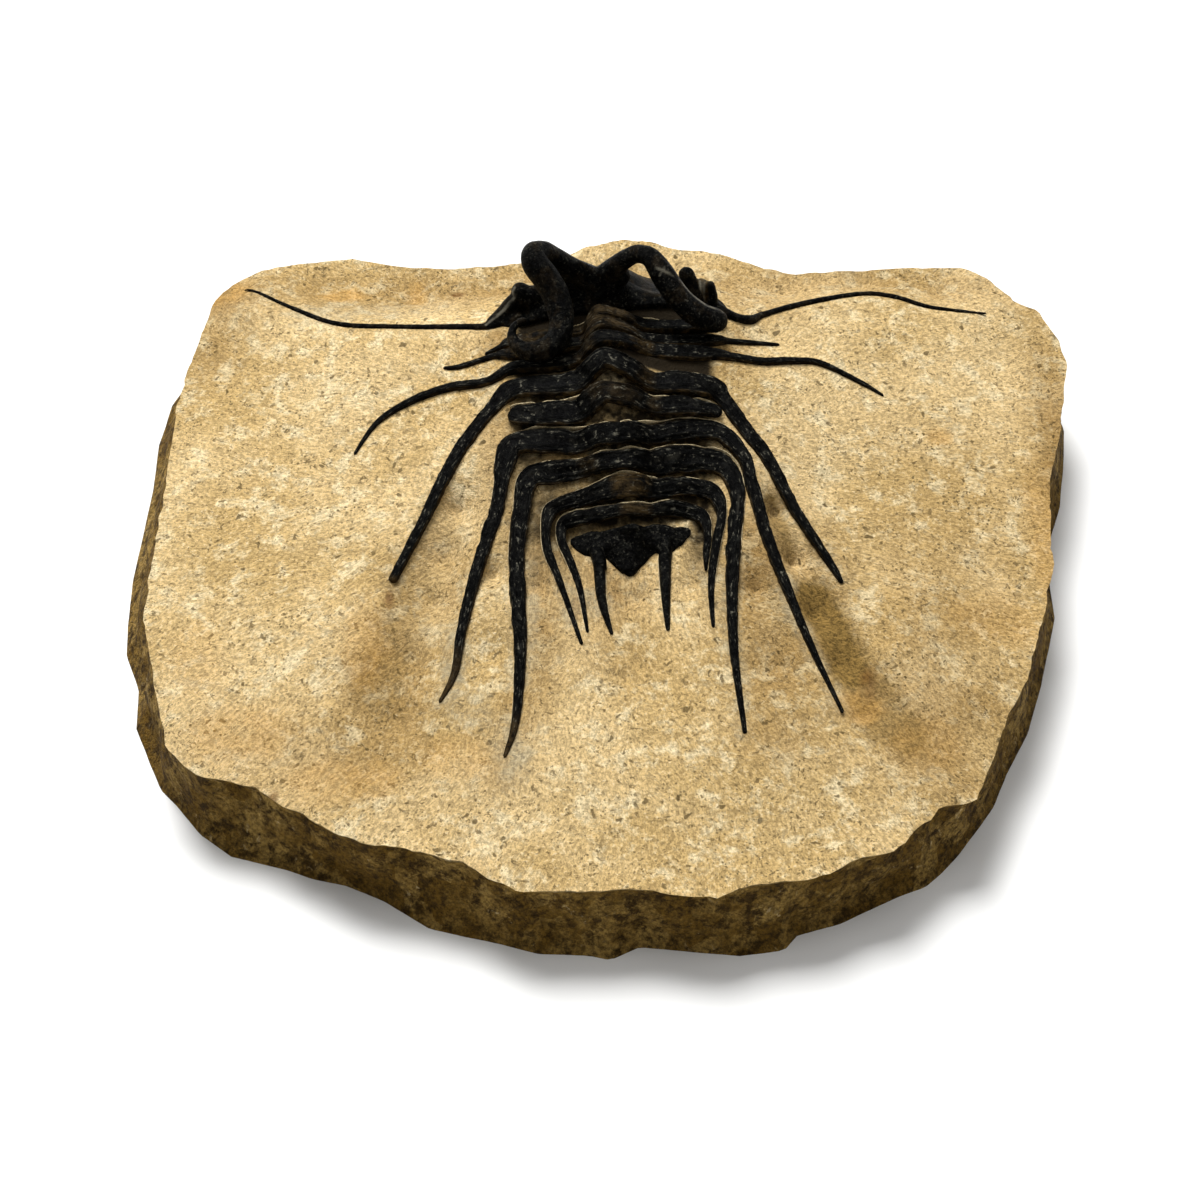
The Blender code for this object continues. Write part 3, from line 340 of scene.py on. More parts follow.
# Smooth noise from -1 to 1: values at the corners of a cubic lattice, eased between them
def softNoise(points, size, seed=0):
    scaled = np.asarray(points, float) / size
    low = np.floor(scaled).astype(np.int64)
    part = scaled - low
    ease = part * part * (3 - 2 * part)
    total = 0.0
    for corner in range(8):
        step = np.array([corner & 1, (corner >> 1) & 1, corner >> 2])
        weight = np.prod(np.where(step, ease, 1 - ease), axis=-1)
        cell = low + step
        total = total + weight * cellValue(cell[..., 0], cell[..., 1], cell[..., 2], seed)
    return total * 2 - 1


# Sum of three finer and weaker copies of the smooth noise
def roughNoise(points, size, seed=0):
    return (softNoise(points, size, seed) + 0.5 * softNoise(points, size / 2.1, seed + 1)
            + 0.25 * softNoise(points, size / 4.3, seed + 2)) / 1.5


# Flat facets from 0 to 1: random heights at the corners of a triangle lattice, joined by planes
def facetNoise(u, v, seed=0):
    i, j = np.floor(u).astype(np.int64), np.floor(v).astype(np.int64)
    fu, fv = u - i, v - j
    nil = np.zeros_like(i)
    a, b = cellValue(i, j, nil, seed), cellValue(i + 1, j, nil, seed)
    c, d = cellValue(i, j + 1, nil, seed), cellValue(i + 1, j + 1, nil, seed)
    lower = a + fu * (b - a) + fv * (c - a)
    upper = d + (1 - fu) * (c - d) + (1 - fv) * (b - d)
    return np.where(fu + fv < 1, lower, upper)


# Cubic curve through every knot, read at even steps along its length
def smoothRoute(points, step):
    knots = np.array(points, float)
    count = 24
    t = (np.arange(count) / count)[:, None]
    spans = []
    for i in range(len(knots) - 1):
        a, b = knots[max(i - 1, 0)], knots[i]
        c, d = knots[i + 1], knots[min(i + 2, len(knots) - 1)]
        spans.append(0.5 * (2 * b + (c - a) * t + (2 * a - 5 * b + 4 * c - d) * t ** 2
                            + (3 * b - a - 3 * c + d) * t ** 3))
    spans.append(knots[-1:])
    fine = np.concatenate(spans)
    along = np.concatenate([[0], np.cumsum(np.linalg.norm(np.diff(fine[:, :3], axis=0), axis=1))])
    wanted = np.linspace(0, along[-1], max(3, round(along[-1] / step) + 1))
    return np.stack([np.interp(wanted, along, fine[:, k]) for k in range(fine.shape[1])], axis=1)


# Points where spokes at the given angles meet a closed outline
def outlineAt(points, angle):
    knots = np.array(points, float)
    cx, cy = block["middle"]
    turn = np.unwrap(np.arctan2(knots[:, 1] - cy, knots[:, 0] - cx))
    turn = np.concatenate([turn, turn[:1] + 2 * math.pi])
    knots = np.concatenate([knots, knots[:1]])
    start = turn[0] + (angle - turn[0]) % (2 * math.pi)
    return np.stack([np.interp(start, turn, knots[:, k]) for k in range(knots.shape[1])], axis=1)


# Points evenly spaced along a closed cubic curve through the given ones, anticlockwise
def closedLoop(points, count):
    knots = np.array(points, float)
    after = np.roll(knots, -1, axis=0)
    if (knots[:, 0] * after[:, 1] - after[:, 0] * knots[:, 1]).sum() < 0:
        knots = knots[::-1]
    t = (np.arange(24) / 24)[None, :, None]
    a, b, c, d = (np.roll(knots, shift, axis=0)[:, None] for shift in (1, 0, -1, -2))
    fine = 0.5 * (2 * b + (c - a) * t + (2 * a - 5 * b + 4 * c - d) * t ** 2
                  + (3 * b - a - 3 * c + d) * t ** 3)
    fine = fine.reshape(-1, 3)
    fine = np.concatenate([fine, fine[:1]])
    along = np.concatenate([[0], np.cumsum(np.linalg.norm(np.diff(fine, axis=0), axis=1))])
    wanted = np.linspace(0, along[-1], count, endpoint=False)
    return np.stack([np.interp(wanted, along, fine[:, k]) for k in range(3)], axis=1)


# Middle line of one body ring with its side spines: (x, y, z, width, thickness)
def ringLine(index):
    thick = thorax["thickness"]
    line = [np.array([*station, thick]) for station in thorax["rings"][index]]
    crown = line[3]
    flat, fall = thorax["shoulder"]
    slide = np.array([flat, flat, fall, flat, 0])
    left, right = (crown + (line[3 + way] - crown) * slide for way in (-1, 1))
    ends = []
    for root, tip, route in (thorax["leftSpines"][index], thorax["rightSpines"][index]):
        wide = root + (tip - root) * np.linspace(0, 1, len(route)) ** thorax["taper"]
        ends.append([np.array([*p, w, min(w, thick)]) for p, w in zip(route, wide)])
    return np.array(ends[0][::-1] + line[:3] + [left, crown, right] + line[4:] + ends[1])


# Direction square to the back of the body at one ring
def leanOfRing(index):
    rings = thorax["rings"]
    before, after = rings[max(index - 1, 0)][3], rings[min(index + 1, len(rings) - 1)][3]
    slope = math.atan2(before[2] - after[2], before[1] - after[1])
    return np.array([0, -math.sin(slope), math.cos(slope)])


# Unit vectors along, across and up at each point of a path, from a rough up direction
def pathFrames(path, up):
    along = np.gradient(path[:, :3], axis=0)
    along /= np.linalg.norm(along, axis=1)[:, None]
    across = np.cross(along, up)
    across /= np.linalg.norm(across, axis=1)[:, None]
    return along, across, np.cross(across, along)


# Up directions that turn as little as possible along a path
def steadyUps(path):
    along = np.gradient(path[:, :3], axis=0)
    along /= np.linalg.norm(along, axis=1)[:, None]
    side = np.cross([0.0, 1.0, 0.1], along[0])
    ups = []
    for direction in along:
        side = side - direction * (side @ direction)
        side /= np.linalg.norm(side)
        ups.append(np.cross(side, direction))
    return np.array(ups)


# Mesh from points in millimetres with quads and triangles, with a UV map and point masks if given
def makeMesh(name, points, quads, tris, masks=None, uvs=None):
    mesh = bpy.data.meshes.new(name)
    mesh.vertices.add(len(points))
    mesh.vertices.foreach_set("co", (np.asarray(points) * mm).astype(np.float32).ravel())
    quads, tris = np.asarray(quads).reshape(-1, 4), np.asarray(tris).reshape(-1, 3)
    loops = np.concatenate([quads.ravel(), tris.ravel()]).astype(np.int32)
    starts = np.concatenate([np.arange(len(quads)) * 4, len(quads) * 4 + np.arange(len(tris)) * 3])
    mesh.loops.add(len(loops))
    mesh.loops.foreach_set("vertex_index", loops)
    mesh.polygons.add(len(starts))
    mesh.polygons.foreach_set("loop_start", starts.astype(np.int32))
    if uvs is not None:
        layer = mesh.uv_layers.new(name="UVMap")
        layer.data.foreach_set("uv", uvs.astype(np.float32).ravel())
    mesh.update(calc_edges=True)
    for maskName, values in (masks or {}).items():
        setMask(mesh, maskName, values)
    mesh.validate()
    mesh.shade_smooth()
    return mesh


# Stores three values from 0 to 1 at each point
def setMask(mesh, name, values):
    colour = np.ones((len(mesh.vertices), 4), np.float32)
    colour[:, :3] = np.clip(values, 0, 1)
    attribute = mesh.attributes.new(name, "FLOAT_COLOR", "POINT")
    attribute.data.foreach_set("color", colour.ravel())


def placeObject(name, mesh, skin):
    made = bpy.data.objects.new(name, mesh)
    bpy.context.scene.collection.objects.link(made)
    mesh.materials.clear()
    mesh.materials.append(skin)
    return made


# Faces of a closed tube of rows by sides points, with one extra point closing each end
def tubeFaces(rows, sides):
    i = np.arange(rows - 1)[:, None]
    j = np.arange(sides)[None, :]
    k = (j + 1) % sides
    quads = np.stack([i * sides + j, (i + 1) * sides + j, (i + 1) * sides + k, i * sides + k], axis=-1)
    j, k = j[0], k[0]
    start, end = rows * sides, rows * sides + 1
    first = np.stack([np.full(sides, start), j, k], axis=1)
    base = (rows - 1) * sides
    last = np.stack([np.full(sides, end), base + k, base + j], axis=1)
    return quads.reshape(-1, 4), np.concatenate([first, last])


# A round bar of changing width along a route; the two ends are drawn in to a dome
def barPoints(route, step=0.3, sides=28, lump=0.035):
    path = smoothRoute(route, step)
    path = path if path.shape[1] == 5 else np.column_stack([path, path[:, 3]])
    along, across, lift = pathFrames(path, steadyUps(path))
    angle = np.arange(sides) * 2 * math.pi / sides
    reach = np.arange(len(path)) * step
    end = np.minimum(reach, reach[::-1]) / np.maximum(path[:, 3] / 2, 0.1)
    dome = np.sqrt(np.clip(1 - (1 - np.clip(end, 0, 1)) ** 2, 0.02, 1))
    wide, thick = (path[:, 3] / 2 * dome)[:, None], (path[:, 4] / 2 * dome)[:, None]
    rings = (path[:, None, :3] + (wide * np.cos(angle))[..., None] * across[:, None]
             + (thick * np.sin(angle))[..., None] * lift[:, None])
    outward = rings - path[:, None, :3]
    rings = rings + outward * (lump * roughNoise(rings, 1.3, 5))[..., None]
    points = np.concatenate([rings.reshape(-1, 3), path[:1, :3], path[-1:, :3]])
    return points, *tubeFaces(len(path), sides)


# Joins point and face lists of several closed shapes into one
def joinShapes(shapes):
    points, quads, tris, offset = [], [], [], 0
    for p, q, t in shapes:
        points.append(p)
        quads.append(np.asarray(q).reshape(-1, 4) + offset)
        tris.append(np.asarray(t).reshape(-1, 3) + offset)
        offset += len(p)
    return np.concatenate(points), np.concatenate(quads), np.concatenate(tris)


# One continuous skin over overlapping shapes: voxel remesh, then a light smoothing
def fuseShapes(name, shapes, voxel, smoothing=4):
    rough = placeObject(name + "Rough", makeMesh(name + "Rough", *joinShapes(shapes)), blackShell)
    remesh = rough.modifiers.new("fuse", "REMESH")
    remesh.mode = "VOXEL"
    remesh.voxel_size = voxel * mm
    smooth = rough.modifiers.new("soften", "SMOOTH")
    smooth.factor = 0.5
    smooth.iterations = smoothing
    bpy.context.view_layer.update()
    graph = bpy.context.evaluated_depsgraph_get()
    mesh = bpy.data.meshes.new_from_object(rough.evaluated_get(graph))
    bpy.data.objects.remove(rough)
    mesh.name = name
    mesh.shade_smooth()
    return mesh


def meshPoints(mesh):
    flat = np.empty(len(mesh.vertices) * 3, np.float32)
    mesh.vertices.foreach_get("co", flat)
    return flat.reshape(-1, 3).astype(float) / mm


def meshNormals(mesh):
    flat = np.empty(len(mesh.vertices) * 3, np.float32)
    mesh.vertex_normals.foreach_get("vector", flat)
    return flat.reshape(-1, 3).astype(float)


def movePoints(mesh, points):
    mesh.vertices.foreach_set("co", (points * mm).astype(np.float32).ravel())
    mesh.update()


# Distance from each point to the nearest of some places
def leastDistance(points, places):
    least = np.full(len(points), np.inf)
    for place in places:
        least = np.minimum(least, ((points - place) ** 2).sum(axis=1))
    return np.sqrt(least)


# 1 within half the reach of a line of points, falling to 0 at the reach
def nearLine(points, line, reach):
    return ramp(leastDistance(points, smoothRoute(line, reach * 0.5)), reach, reach / 2)


# Node helpers: a node with its settings and inputs in one call
def addNode(tree, kind, settings=None, inputs=None):
    made = tree.nodes.new(kind)
    for key, value in (settings or {}).items():
        setattr(made, key, value)
    for key, value in (inputs or {}).items():
        socket = made.inputs[key]
        if isinstance(value, bpy.types.NodeSocket):
            tree.links.new(value, socket)
        else:
            socket.default_value = value
    return made


def addMath(tree, operation, a, b=0.0, clamp=False):
    return addNode(tree, "ShaderNodeMath", {"operation": operation, "use_clamp": clamp},
                   {0: a, 1: b}).outputs[0]


def times(tree, a, b, clamp=False):
    return addMath(tree, "MULTIPLY", a, b, clamp)


def mixColour(tree, factor, a, b, blend="MIX"):
    return addNode(tree, "ShaderNodeMix", {"data_type": "RGBA", "blend_type": blend},
                   {0: factor, 6: a, 7: b}).outputs[2]


# Colour multiplied by a grey value or by another colour
def toned(tree, colour, tone):
    return mixColour(tree, 1.0, colour, tone, "MULTIPLY")


def rangeOf(tree, value, low, high, toLow=0.0, toHigh=1.0):
    return addNode(tree, "ShaderNodeMapRange", {"interpolation_type": "SMOOTHSTEP"},
                   {0: value, 1: low, 2: high, 3: toLow, 4: toHigh}).outputs[0]


def noiseOf(tree, vector, scale, detail=2.0, rough=0.5):
    return addNode(tree, "ShaderNodeTexNoise", {},
                   {"Vector": vector, "Scale": scale, "Detail": detail, "Roughness": rough}).outputs[0]


def warpOf(tree, vector, scale, detail):
    return addNode(tree, "ShaderNodeTexNoise", {},
                   {"Vector": vector, "Scale": scale, "Detail": detail}).outputs["Color"]


# Place moved by a noise colour times a reach
def shifted(tree, vector, warp, reach):
    return addNode(tree, "ShaderNodeVectorMath", {"operation": "MULTIPLY_ADD"},
                   {0: warp, 1: reach, 2: vector}).outputs[0]


def newGroup(name, inputs, outputs):
    group = bpy.data.node_groups.new(name, "ShaderNodeTree")
    for socketName, kind, value in inputs:
        socket = group.interface.new_socket(socketName, in_out="INPUT", socket_type=kind)
        if value is not None:
            socket.default_value = value
    for socketName, kind in outputs:
        group.interface.new_socket(socketName, in_out="OUTPUT", socket_type=kind)
    return group, group.nodes.new("NodeGroupInput").outputs, group.nodes.new("NodeGroupOutput").inputs


# Scattered specks: round dots in the cells of a warped lattice, of random size, thinned by chance and
# by a broad noise
def makeSpeckGroup():
    group, given, result = newGroup("scatteredSpecks", [
        ("Vector", "NodeSocketVector", None), ("Scale", "NodeSocketFloat", 3.0),
        ("Amount", "NodeSocketFloat", 0.3)], [("Mask", "NodeSocketFloat")])
    warp = warpOf(group, given["Vector"], given["Scale"], 2.0)
    bend = addMath(group, "DIVIDE", 0.9, given["Scale"])
    where = shifted(group, given["Vector"], warp, bend)
    cell = addNode(group, "ShaderNodeTexVoronoi", {}, {"Vector": where, "Scale": given["Scale"]})
    chance = addNode(group, "ShaderNodeSeparateColor", {}, {0: cell.outputs["Color"]}).outputs
    broad = noiseOf(group, given["Vector"], times(group, given["Scale"], 0.16), 2.0)
    broad = rangeOf(group, broad, 0.36, 0.64, 0.35, 1.7)
    keep = addMath(group, "SUBTRACT", times(group, given["Amount"], broad), chance[0])
    radius = addMath(group, "ADD", times(group, chance[1], 0.3), 0.14)
    inside = addMath(group, "SUBTRACT", radius, cell.outputs["Distance"])
    mask = times(group, times(group, inside, 9.0, True), times(group, keep, 12.0, True))
    group.links.new(mask, result["Mask"])
    return group


# Strokes of a small chisel: patches of stretched noise, each turned to point away from the fossil
def makeStrokeGroup():
    group, given, result = newGroup("chiselStrokes", [
        ("Vector", "NodeSocketVector", None), ("Patch", "NodeSocketFloat", 0.2),
        ("Long", "NodeSocketFloat", 0.7), ("Fine", "NodeSocketFloat", 3.0),
        ("Stray", "NodeSocketFloat", 0.8)], [("Height", "NodeSocketFloat")])
    stir = warpOf(group, given["Vector"], 0.9, 1.0)
    loose = shifted(group, given["Vector"], stir, (5.0, 5.0, 5.0))
    cell = addNode(group, "ShaderNodeTexVoronoi", {}, {"Vector": loose, "Scale": given["Patch"]})
    away = addNode(group, "ShaderNodeSeparateXYZ", {}, {0: cell.outputs["Position"]}).outputs
    cx, cy = block["middle"]
    angle = addMath(group, "ARCTAN2", addMath(group, "SUBTRACT", away[1], cy),
                    addMath(group, "SUBTRACT", away[0], cx))
    chance = addNode(group, "ShaderNodeSeparateColor", {}, {0: cell.outputs["Color"]}).outputs[0]
    stray = times(group, addMath(group, "SUBTRACT", chance, 0.5), given["Stray"])
    turn = times(group, addMath(group, "ADD", angle, stray), -1.0)
    turned = addNode(group, "ShaderNodeVectorRotate", {"rotation_type": "Z_AXIS"},
                     {"Vector": given["Vector"], "Angle": turn}).outputs[0]
    stretch = addNode(group, "ShaderNodeCombineXYZ", {},
                      {0: given["Long"], 1: given["Fine"], 2: given["Fine"]}).outputs[0]
    scaled = addNode(group, "ShaderNodeVectorMath", {"operation": "MULTIPLY"},
                     {0: turned, 1: stretch}).outputs[0]
    group.links.new(noiseOf(group, scaled, 1.0, 3.0, 0.55), result["Height"])
    return group


def placeGroup(tree, group, inputs):
    return addNode(tree, "ShaderNodeGroup", {"node_tree": group}, inputs).outputs[0]


def newMaterial(name):
    made = bpy.data.materials.new(name)
    made.use_nodes = True
    tree = made.node_tree
    coordinates = addNode(tree, "ShaderNodeTexCoord").outputs
    inMm = addNode(tree, "ShaderNodeVectorMath", {"operation": "SCALE"},
                   {0: coordinates["Object"], "Scale": 1 / mm}).outputs[0]
    return made, tree, tree.nodes["Principled BSDF"], inMm, coordinates


def addRelief(tree, shader, height, depth):
    bump = addNode(tree, "ShaderNodeBump", {}, {"Strength": 1.0, "Distance": depth, "Height": height})
    tree.links.new(bump.outputs[0], shader.inputs["Normal"])


def maskOf(tree, name):
    attribute = addNode(tree, "ShaderNodeAttribute", {"attribute_name": name}).outputs["Color"]
    return addNode(tree, "ShaderNodeSeparateColor", {}, {0: attribute}).outputs


limestoneLook = {
    "pale": (0.665, 0.485, 0.235, 1), "tan": (0.53, 0.365, 0.15, 1), "sand": (0.75, 0.61, 0.36, 1),
    "fleck": (0.86, 0.75, 0.52, 1), "speck": (0.17, 0.125, 0.055, 1), "pit": (0.10, 0.068, 0.026, 1),
    # painted shade: the shade tone for the ground round the fossil, and brown shade on the trough walls
    "shade": (0.54, 0.47, 0.36, 1), "troughShade": (0.19, 0.117, 0.032, 1),
    "ochre": (0.58, 0.31, 0.07, 1), "rust": (0.16, 0.07, 0.018, 1), "grey": (0.40, 0.335, 0.21, 1),
    # gap: near black, painted shade between the body rings
    "gap": (0.008, 0.005, 0.0018, 1), "ledge": (0.72, 0.60, 0.37, 1),
    # broken sides: the rock's own brown, made darker still as painted shade
    "wall": (0.14, 0.077, 0.012, 1), "wallPale": (0.33, 0.21, 0.058, 1),
    "wallDark": (0.055, 0.03, 0.006, 1), "chip": (0.50, 0.37, 0.18, 1),
    # chisel strokes, long and short: patches and waves per millimetre, stray turn in radians
    "strokes": [{"Patch": 0.09, "Long": 0.75, "Fine": 3.0, "Stray": 0.7},
                {"Patch": 0.23, "Long": 1.6, "Fine": 5.4, "Stray": 1.1}],
    "grainShares": (0.24, 0.22, 0.54),      # of the long strokes, the short ones and the even grain
    "grainRange": (0.42, 0.58, 0.68, 1.3),  # grain from and to, tone from and to
    "darkDots": {"Scale": 2.0, "Amount": 0.5}, "pitDots": {"Scale": 0.95, "Amount": 0.13},
    "flecks": 0.5, "crumbs": 0.75, "pits": 0.8, "chips": 0.7,   # strengths
    "roughness": 0.88, "specular": 0.1, "relief": 0.0006,
}


# Limestone: chiselled tan top with crumbs and pits, painted shade and stains from the masks, and brown
# broken sides, their own brown darkened with painted shade, in angular patches with pale chips
def makeLimestone(specks, strokes):
    look = limestoneLook
    made, tree, shader, where, _ = newMaterial("limestone")
    stains, zones, tints = maskOf(tree, "stains"), maskOf(tree, "zones"), maskOf(tree, "tints")
    shift = shifted(tree, where, warpOf(tree, where, 0.35, 2.0), (2.6, 2.6, 2.6))
    layers = [placeGroup(tree, strokes, {"Vector": where, **stroke}) for stroke in look["strokes"]]
    even = noiseOf(tree, where, 2.0, 5.0, 0.78)
    layers = [times(tree, layer, share) for layer, share in zip(layers + [even], look["grainShares"])]
    grain = addMath(tree, "ADD", addMath(tree, "ADD", layers[0], layers[1]), layers[2])
    tone = rangeOf(tree, grain, *look["grainRange"])
    broad = noiseOf(tree, where, 0.055, 3.0, 0.55)
    cloud = noiseOf(tree, shift, 0.3, 5.0, 0.72)
    colour = mixColour(tree, rangeOf(tree, broad, 0.38, 0.62), look["pale"], look["tan"])
    colour = mixColour(tree, rangeOf(tree, cloud, 0.48, 0.66), colour, look["sand"])
    colour = toned(tree, colour, tone)
    # light flecks, dark crumbs, specks that grow rare beside the spines, and pits
    fleck = rangeOf(tree, even, 0.575, 0.64)
    crumb = rangeOf(tree, noiseOf(tree, shift, 1.35, 3.0, 0.6), 0.6, 0.63)
    crowd = rangeOf(tree, noiseOf(tree, where, 0.35, 4.0, 0.7), 0.4, 0.58, 0.35, 1.0)
    crumb = times(tree, crumb, crowd)
    dark = placeGroup(tree, specks, {"Vector": where, **look["darkDots"]})
    pits = placeGroup(tree, specks, {"Vector": shift, **look["pitDots"]})
    for mask, strength, key in ((fleck, look["flecks"], "fleck"), (crumb, look["crumbs"], "pit"),
                                (dark, tints[1], "speck"), (pits, look["pits"], "pit")):
        colour = mixColour(tree, times(tree, mask, strength), colour, look[key])
    # painted shade on the ground round the fossil and on the brown trough walls, then ochre, rust and
    # grey stains
    colour = mixColour(tree, tints[2], colour, toned(tree, colour, look["shade"]))
    troughShade = toned(tree, look["troughShade"], rangeOf(tree, grain, 0.41, 0.59, 0.5, 1.6))
    colour = mixColour(tree, tints[0], colour, troughShade)
    patchy = rangeOf(tree, cloud, 0.34, 0.6, 0.25, 1.0)
    stained = rangeOf(tree, grain, 0.41, 0.59, 0.72, 1.16)
    for mask, key in ((stains[0], "ochre"), (stains[1], "rust"), (stains[2], "grey")):
        colour = mixColour(tree, times(tree, mask, patchy), colour, toned(tree, look[key], stained))
    # painted shade: near black rock in the gaps between the rings
    colour = mixColour(tree, zones[2], colour, look["gap"])
    colour = mixColour(tree, zones[1], colour, toned(tree, look["ledge"], tone))
    # broken sides: the rock's own brown, darker with painted shade
    bent = addNode(tree, "ShaderNodeVectorMath", {"operation": "MULTIPLY"},
                   {0: shift, 1: (1.0, 1.0, 0.7)}).outputs[0]
    facet = addNode(tree, "ShaderNodeTexVoronoi", {}, {"Vector": bent, "Scale": 0.3})
    facetTone = addNode(tree, "ShaderNodeSeparateColor", {}, {0: facet.outputs["Color"]}).outputs
    wallCloud = noiseOf(tree, shift, 0.2, 5.0, 0.65)
    wallTone = addMath(tree, "ADD", times(tree, facetTone[0], 0.3), wallCloud)
    side = mixColour(tree, rangeOf(tree, wallTone, 0.5, 0.92), look["wall"], look["wallPale"])
    darker = rangeOf(tree, noiseOf(tree, where, 0.6, 5.0, 0.7), 0.45, 0.62)
    side = mixColour(tree, darker, side, look["wallDark"])
    chips = times(tree, rangeOf(tree, noiseOf(tree, bent, 0.75, 4.0, 0.7), 0.6, 0.68),
                  rangeOf(tree, wallCloud, 0.46, 0.6))
    side = mixColour(tree, times(tree, chips, look["chips"]), side, look["chip"])
    side = toned(tree, side, rangeOf(tree, even, 0.4, 0.6, 0.6, 1.3))
    colour = mixColour(tree, zones[0], colour, side)
    tree.links.new(colour, shader.inputs["Base Color"])
    shader.inputs["Roughness"].default_value = look["roughness"]
    shader.inputs["Specular IOR Level"].default_value = look["specular"]
    rubble = times(tree, noiseOf(tree, where, 0.7, 4.0, 0.7), 2.6)
    relief = addNode(tree, "ShaderNodeMix", {"data_type": "FLOAT"},
                     {0: zones[0], 2: grain, 3: rubble}).outputs[0]
    addRelief(tree, shader, relief, look["relief"])
    return made


shellLook = {
    "black": (0.0004, 0.0004, 0.0004, 1), "grey": (0.008, 0.0078, 0.0066, 1),
    "streak": (0.115, 0.108, 0.082, 1),
    "residue": (0.085, 0.053, 0.019, 1), "chalk": (0.36, 0.33, 0.25, 1),
    "worn": (0.030, 0.0305, 0.027, 1), "roughness": (0.36, 0.66),
    "specular": 0.03, "relief": 0.0003,
    "lineScale": (0.75, 2.5, 1.0),      # streaks per millimetre along and across a band
    "nickScale": (1.3, 5.0, 1.0),
}


# Black shell: grey mottling and bright broken streaks, lengthwise on the bands and even on the horns,
# with pale nicks and brown rock left in the furrows
def makeShell(specks, striped):
    look = shellLook
    made, tree, shader, where, coordinates = newMaterial("bandShell" if striped else "hornShell")
    marks = maskOf(tree, "marks")
    if striped:
        lined, nicked = (addNode(tree, "ShaderNodeMapping", {}, {
            "Vector": coordinates["UV"], "Scale": look[key]}).outputs[0]
            for key in ("lineScale", "nickScale"))
        grainScale, fibreScale, streakShare, nickAmount = 1.0, 1.4, 1.0, 0.025
    else:
        lined = nicked = where
        grainScale, fibreScale, streakShare, nickAmount = 1.5, 2.4, 0.3, 0.008
    grain = noiseOf(tree, lined, grainScale, 5.0, 0.7)
    fibre = noiseOf(tree, lined, fibreScale, 4.0, 0.65)
    cloud = noiseOf(tree, where, 0.6, 4.0, 0.65)
    fine = noiseOf(tree, where, 4.5, 3.0, 0.65)
    colour = mixColour(tree, rangeOf(tree, grain, 0.47, 0.66), look["black"], look["grey"])
    streak = times(tree, rangeOf(tree, fibre, 0.555, 0.65), rangeOf(tree, cloud, 0.42, 0.58))
    colour = mixColour(tree, times(tree, streak, streakShare), colour, look["streak"])
    rubbed = times(tree, rangeOf(tree, cloud, 0.5, 0.7), rangeOf(tree, fine, 0.42, 0.62))
    colour = mixColour(tree, times(tree, marks[2], rubbed), colour, look["worn"])
    left = times(tree, marks[1], rangeOf(tree, cloud, 0.3, 0.55), True)
    left = times(tree, left, rangeOf(tree, grain, 0.4, 0.6, 0.35, 1.0))
    colour = mixColour(tree, left, colour, look["residue"])
    nicks = placeGroup(tree, specks, {"Vector": nicked, "Scale": 1.4, "Amount": nickAmount})
    chalk = addMath(tree, "MAXIMUM", times(tree, nicks, 0.5), marks[0])
    colour = mixColour(tree, chalk, colour, look["chalk"])
    tree.links.new(colour, shader.inputs["Base Color"])
    rough = rangeOf(tree, addMath(tree, "MAXIMUM", cloud, left), 0.35, 0.8, *look["roughness"])
    tree.links.new(rough, shader.inputs["Roughness"])
    shader.inputs["Specular IOR Level"].default_value = look["specular"]
    addRelief(tree, shader, addMath(tree, "ADD", grain, times(tree, fine, 0.5)), look["relief"])
    return made


speckGroup = makeSpeckGroup()
limestone = makeLimestone(speckGroup, makeStrokeGroup())
blackShell = makeShell(speckGroup, False)
bandShell = makeShell(speckGroup, True)
print("materials made")


# Places where the rock's height is known: the rim, the valleys and a line under each plate
def groundSamples():
    sunk = block["sunk"]
    known = [np.array(block["valleys"] + block["troughs"] + block["ridges"], float)]
    rim = np.array(block["rim"] + block["rim"][:1], float)
    length = np.concatenate([[0], np.cumsum(np.linalg.norm(np.diff(rim[:, :2], axis=0), axis=1))])
    wanted = np.arange(0, length[-1], 2.0)
    known.append(np.stack([np.interp(wanted, length, rim[:, k]) for k in range(3)], axis=1))
    for line in plateLines:
        path = line["path"][::4]
        known.append(path[:, :3] - np.outer(path[:, 4] * sunk, [0, 0, 1]))
    known.append(closedLoop(head["outline"], 40)[:, :3] - [0, 0, 0.3])
    known.append(closedLoop(tail["outline"], 24)[:, :3] - [0, 0, 0.25])
    return np.concatenate(known)


# Drops each point that lies closer than the least distance to one already kept
def spreadApart(points, least):
    kept = []
    for p in points:
        if all((p[0] - q[0]) ** 2 + (p[1] - q[1]) ** 2 >= least ** 2 for q in kept):
            kept.append(p)
    return np.array(kept)


# Sum of cones, one at each known point, with weights that make it pass through every known height
def fitGround():
    known = spreadApart(groundSamples(), 0.9)
    apart = np.linalg.norm(known[:, None, :2] - known[None, :, :2], axis=2)
    count = len(known)
    system = np.ones((count + 1, count + 1))
    system[:count, :count] = apart
    system[count, count] = 0
    weights = np.linalg.solve(system, np.append(known[:, 2], 0))

    def height(flat):
        total = np.empty(len(flat))
        for start in range(0, len(flat), 8000):
            part = flat[start:start + 8000]
            gaps = np.hypot(part[:, :1] - known[:, 0], part[:, 1:2] - known[:, 1])
            total[start:start + 8000] = gaps @ weights[:-1] + weights[-1]
        return total
    return height


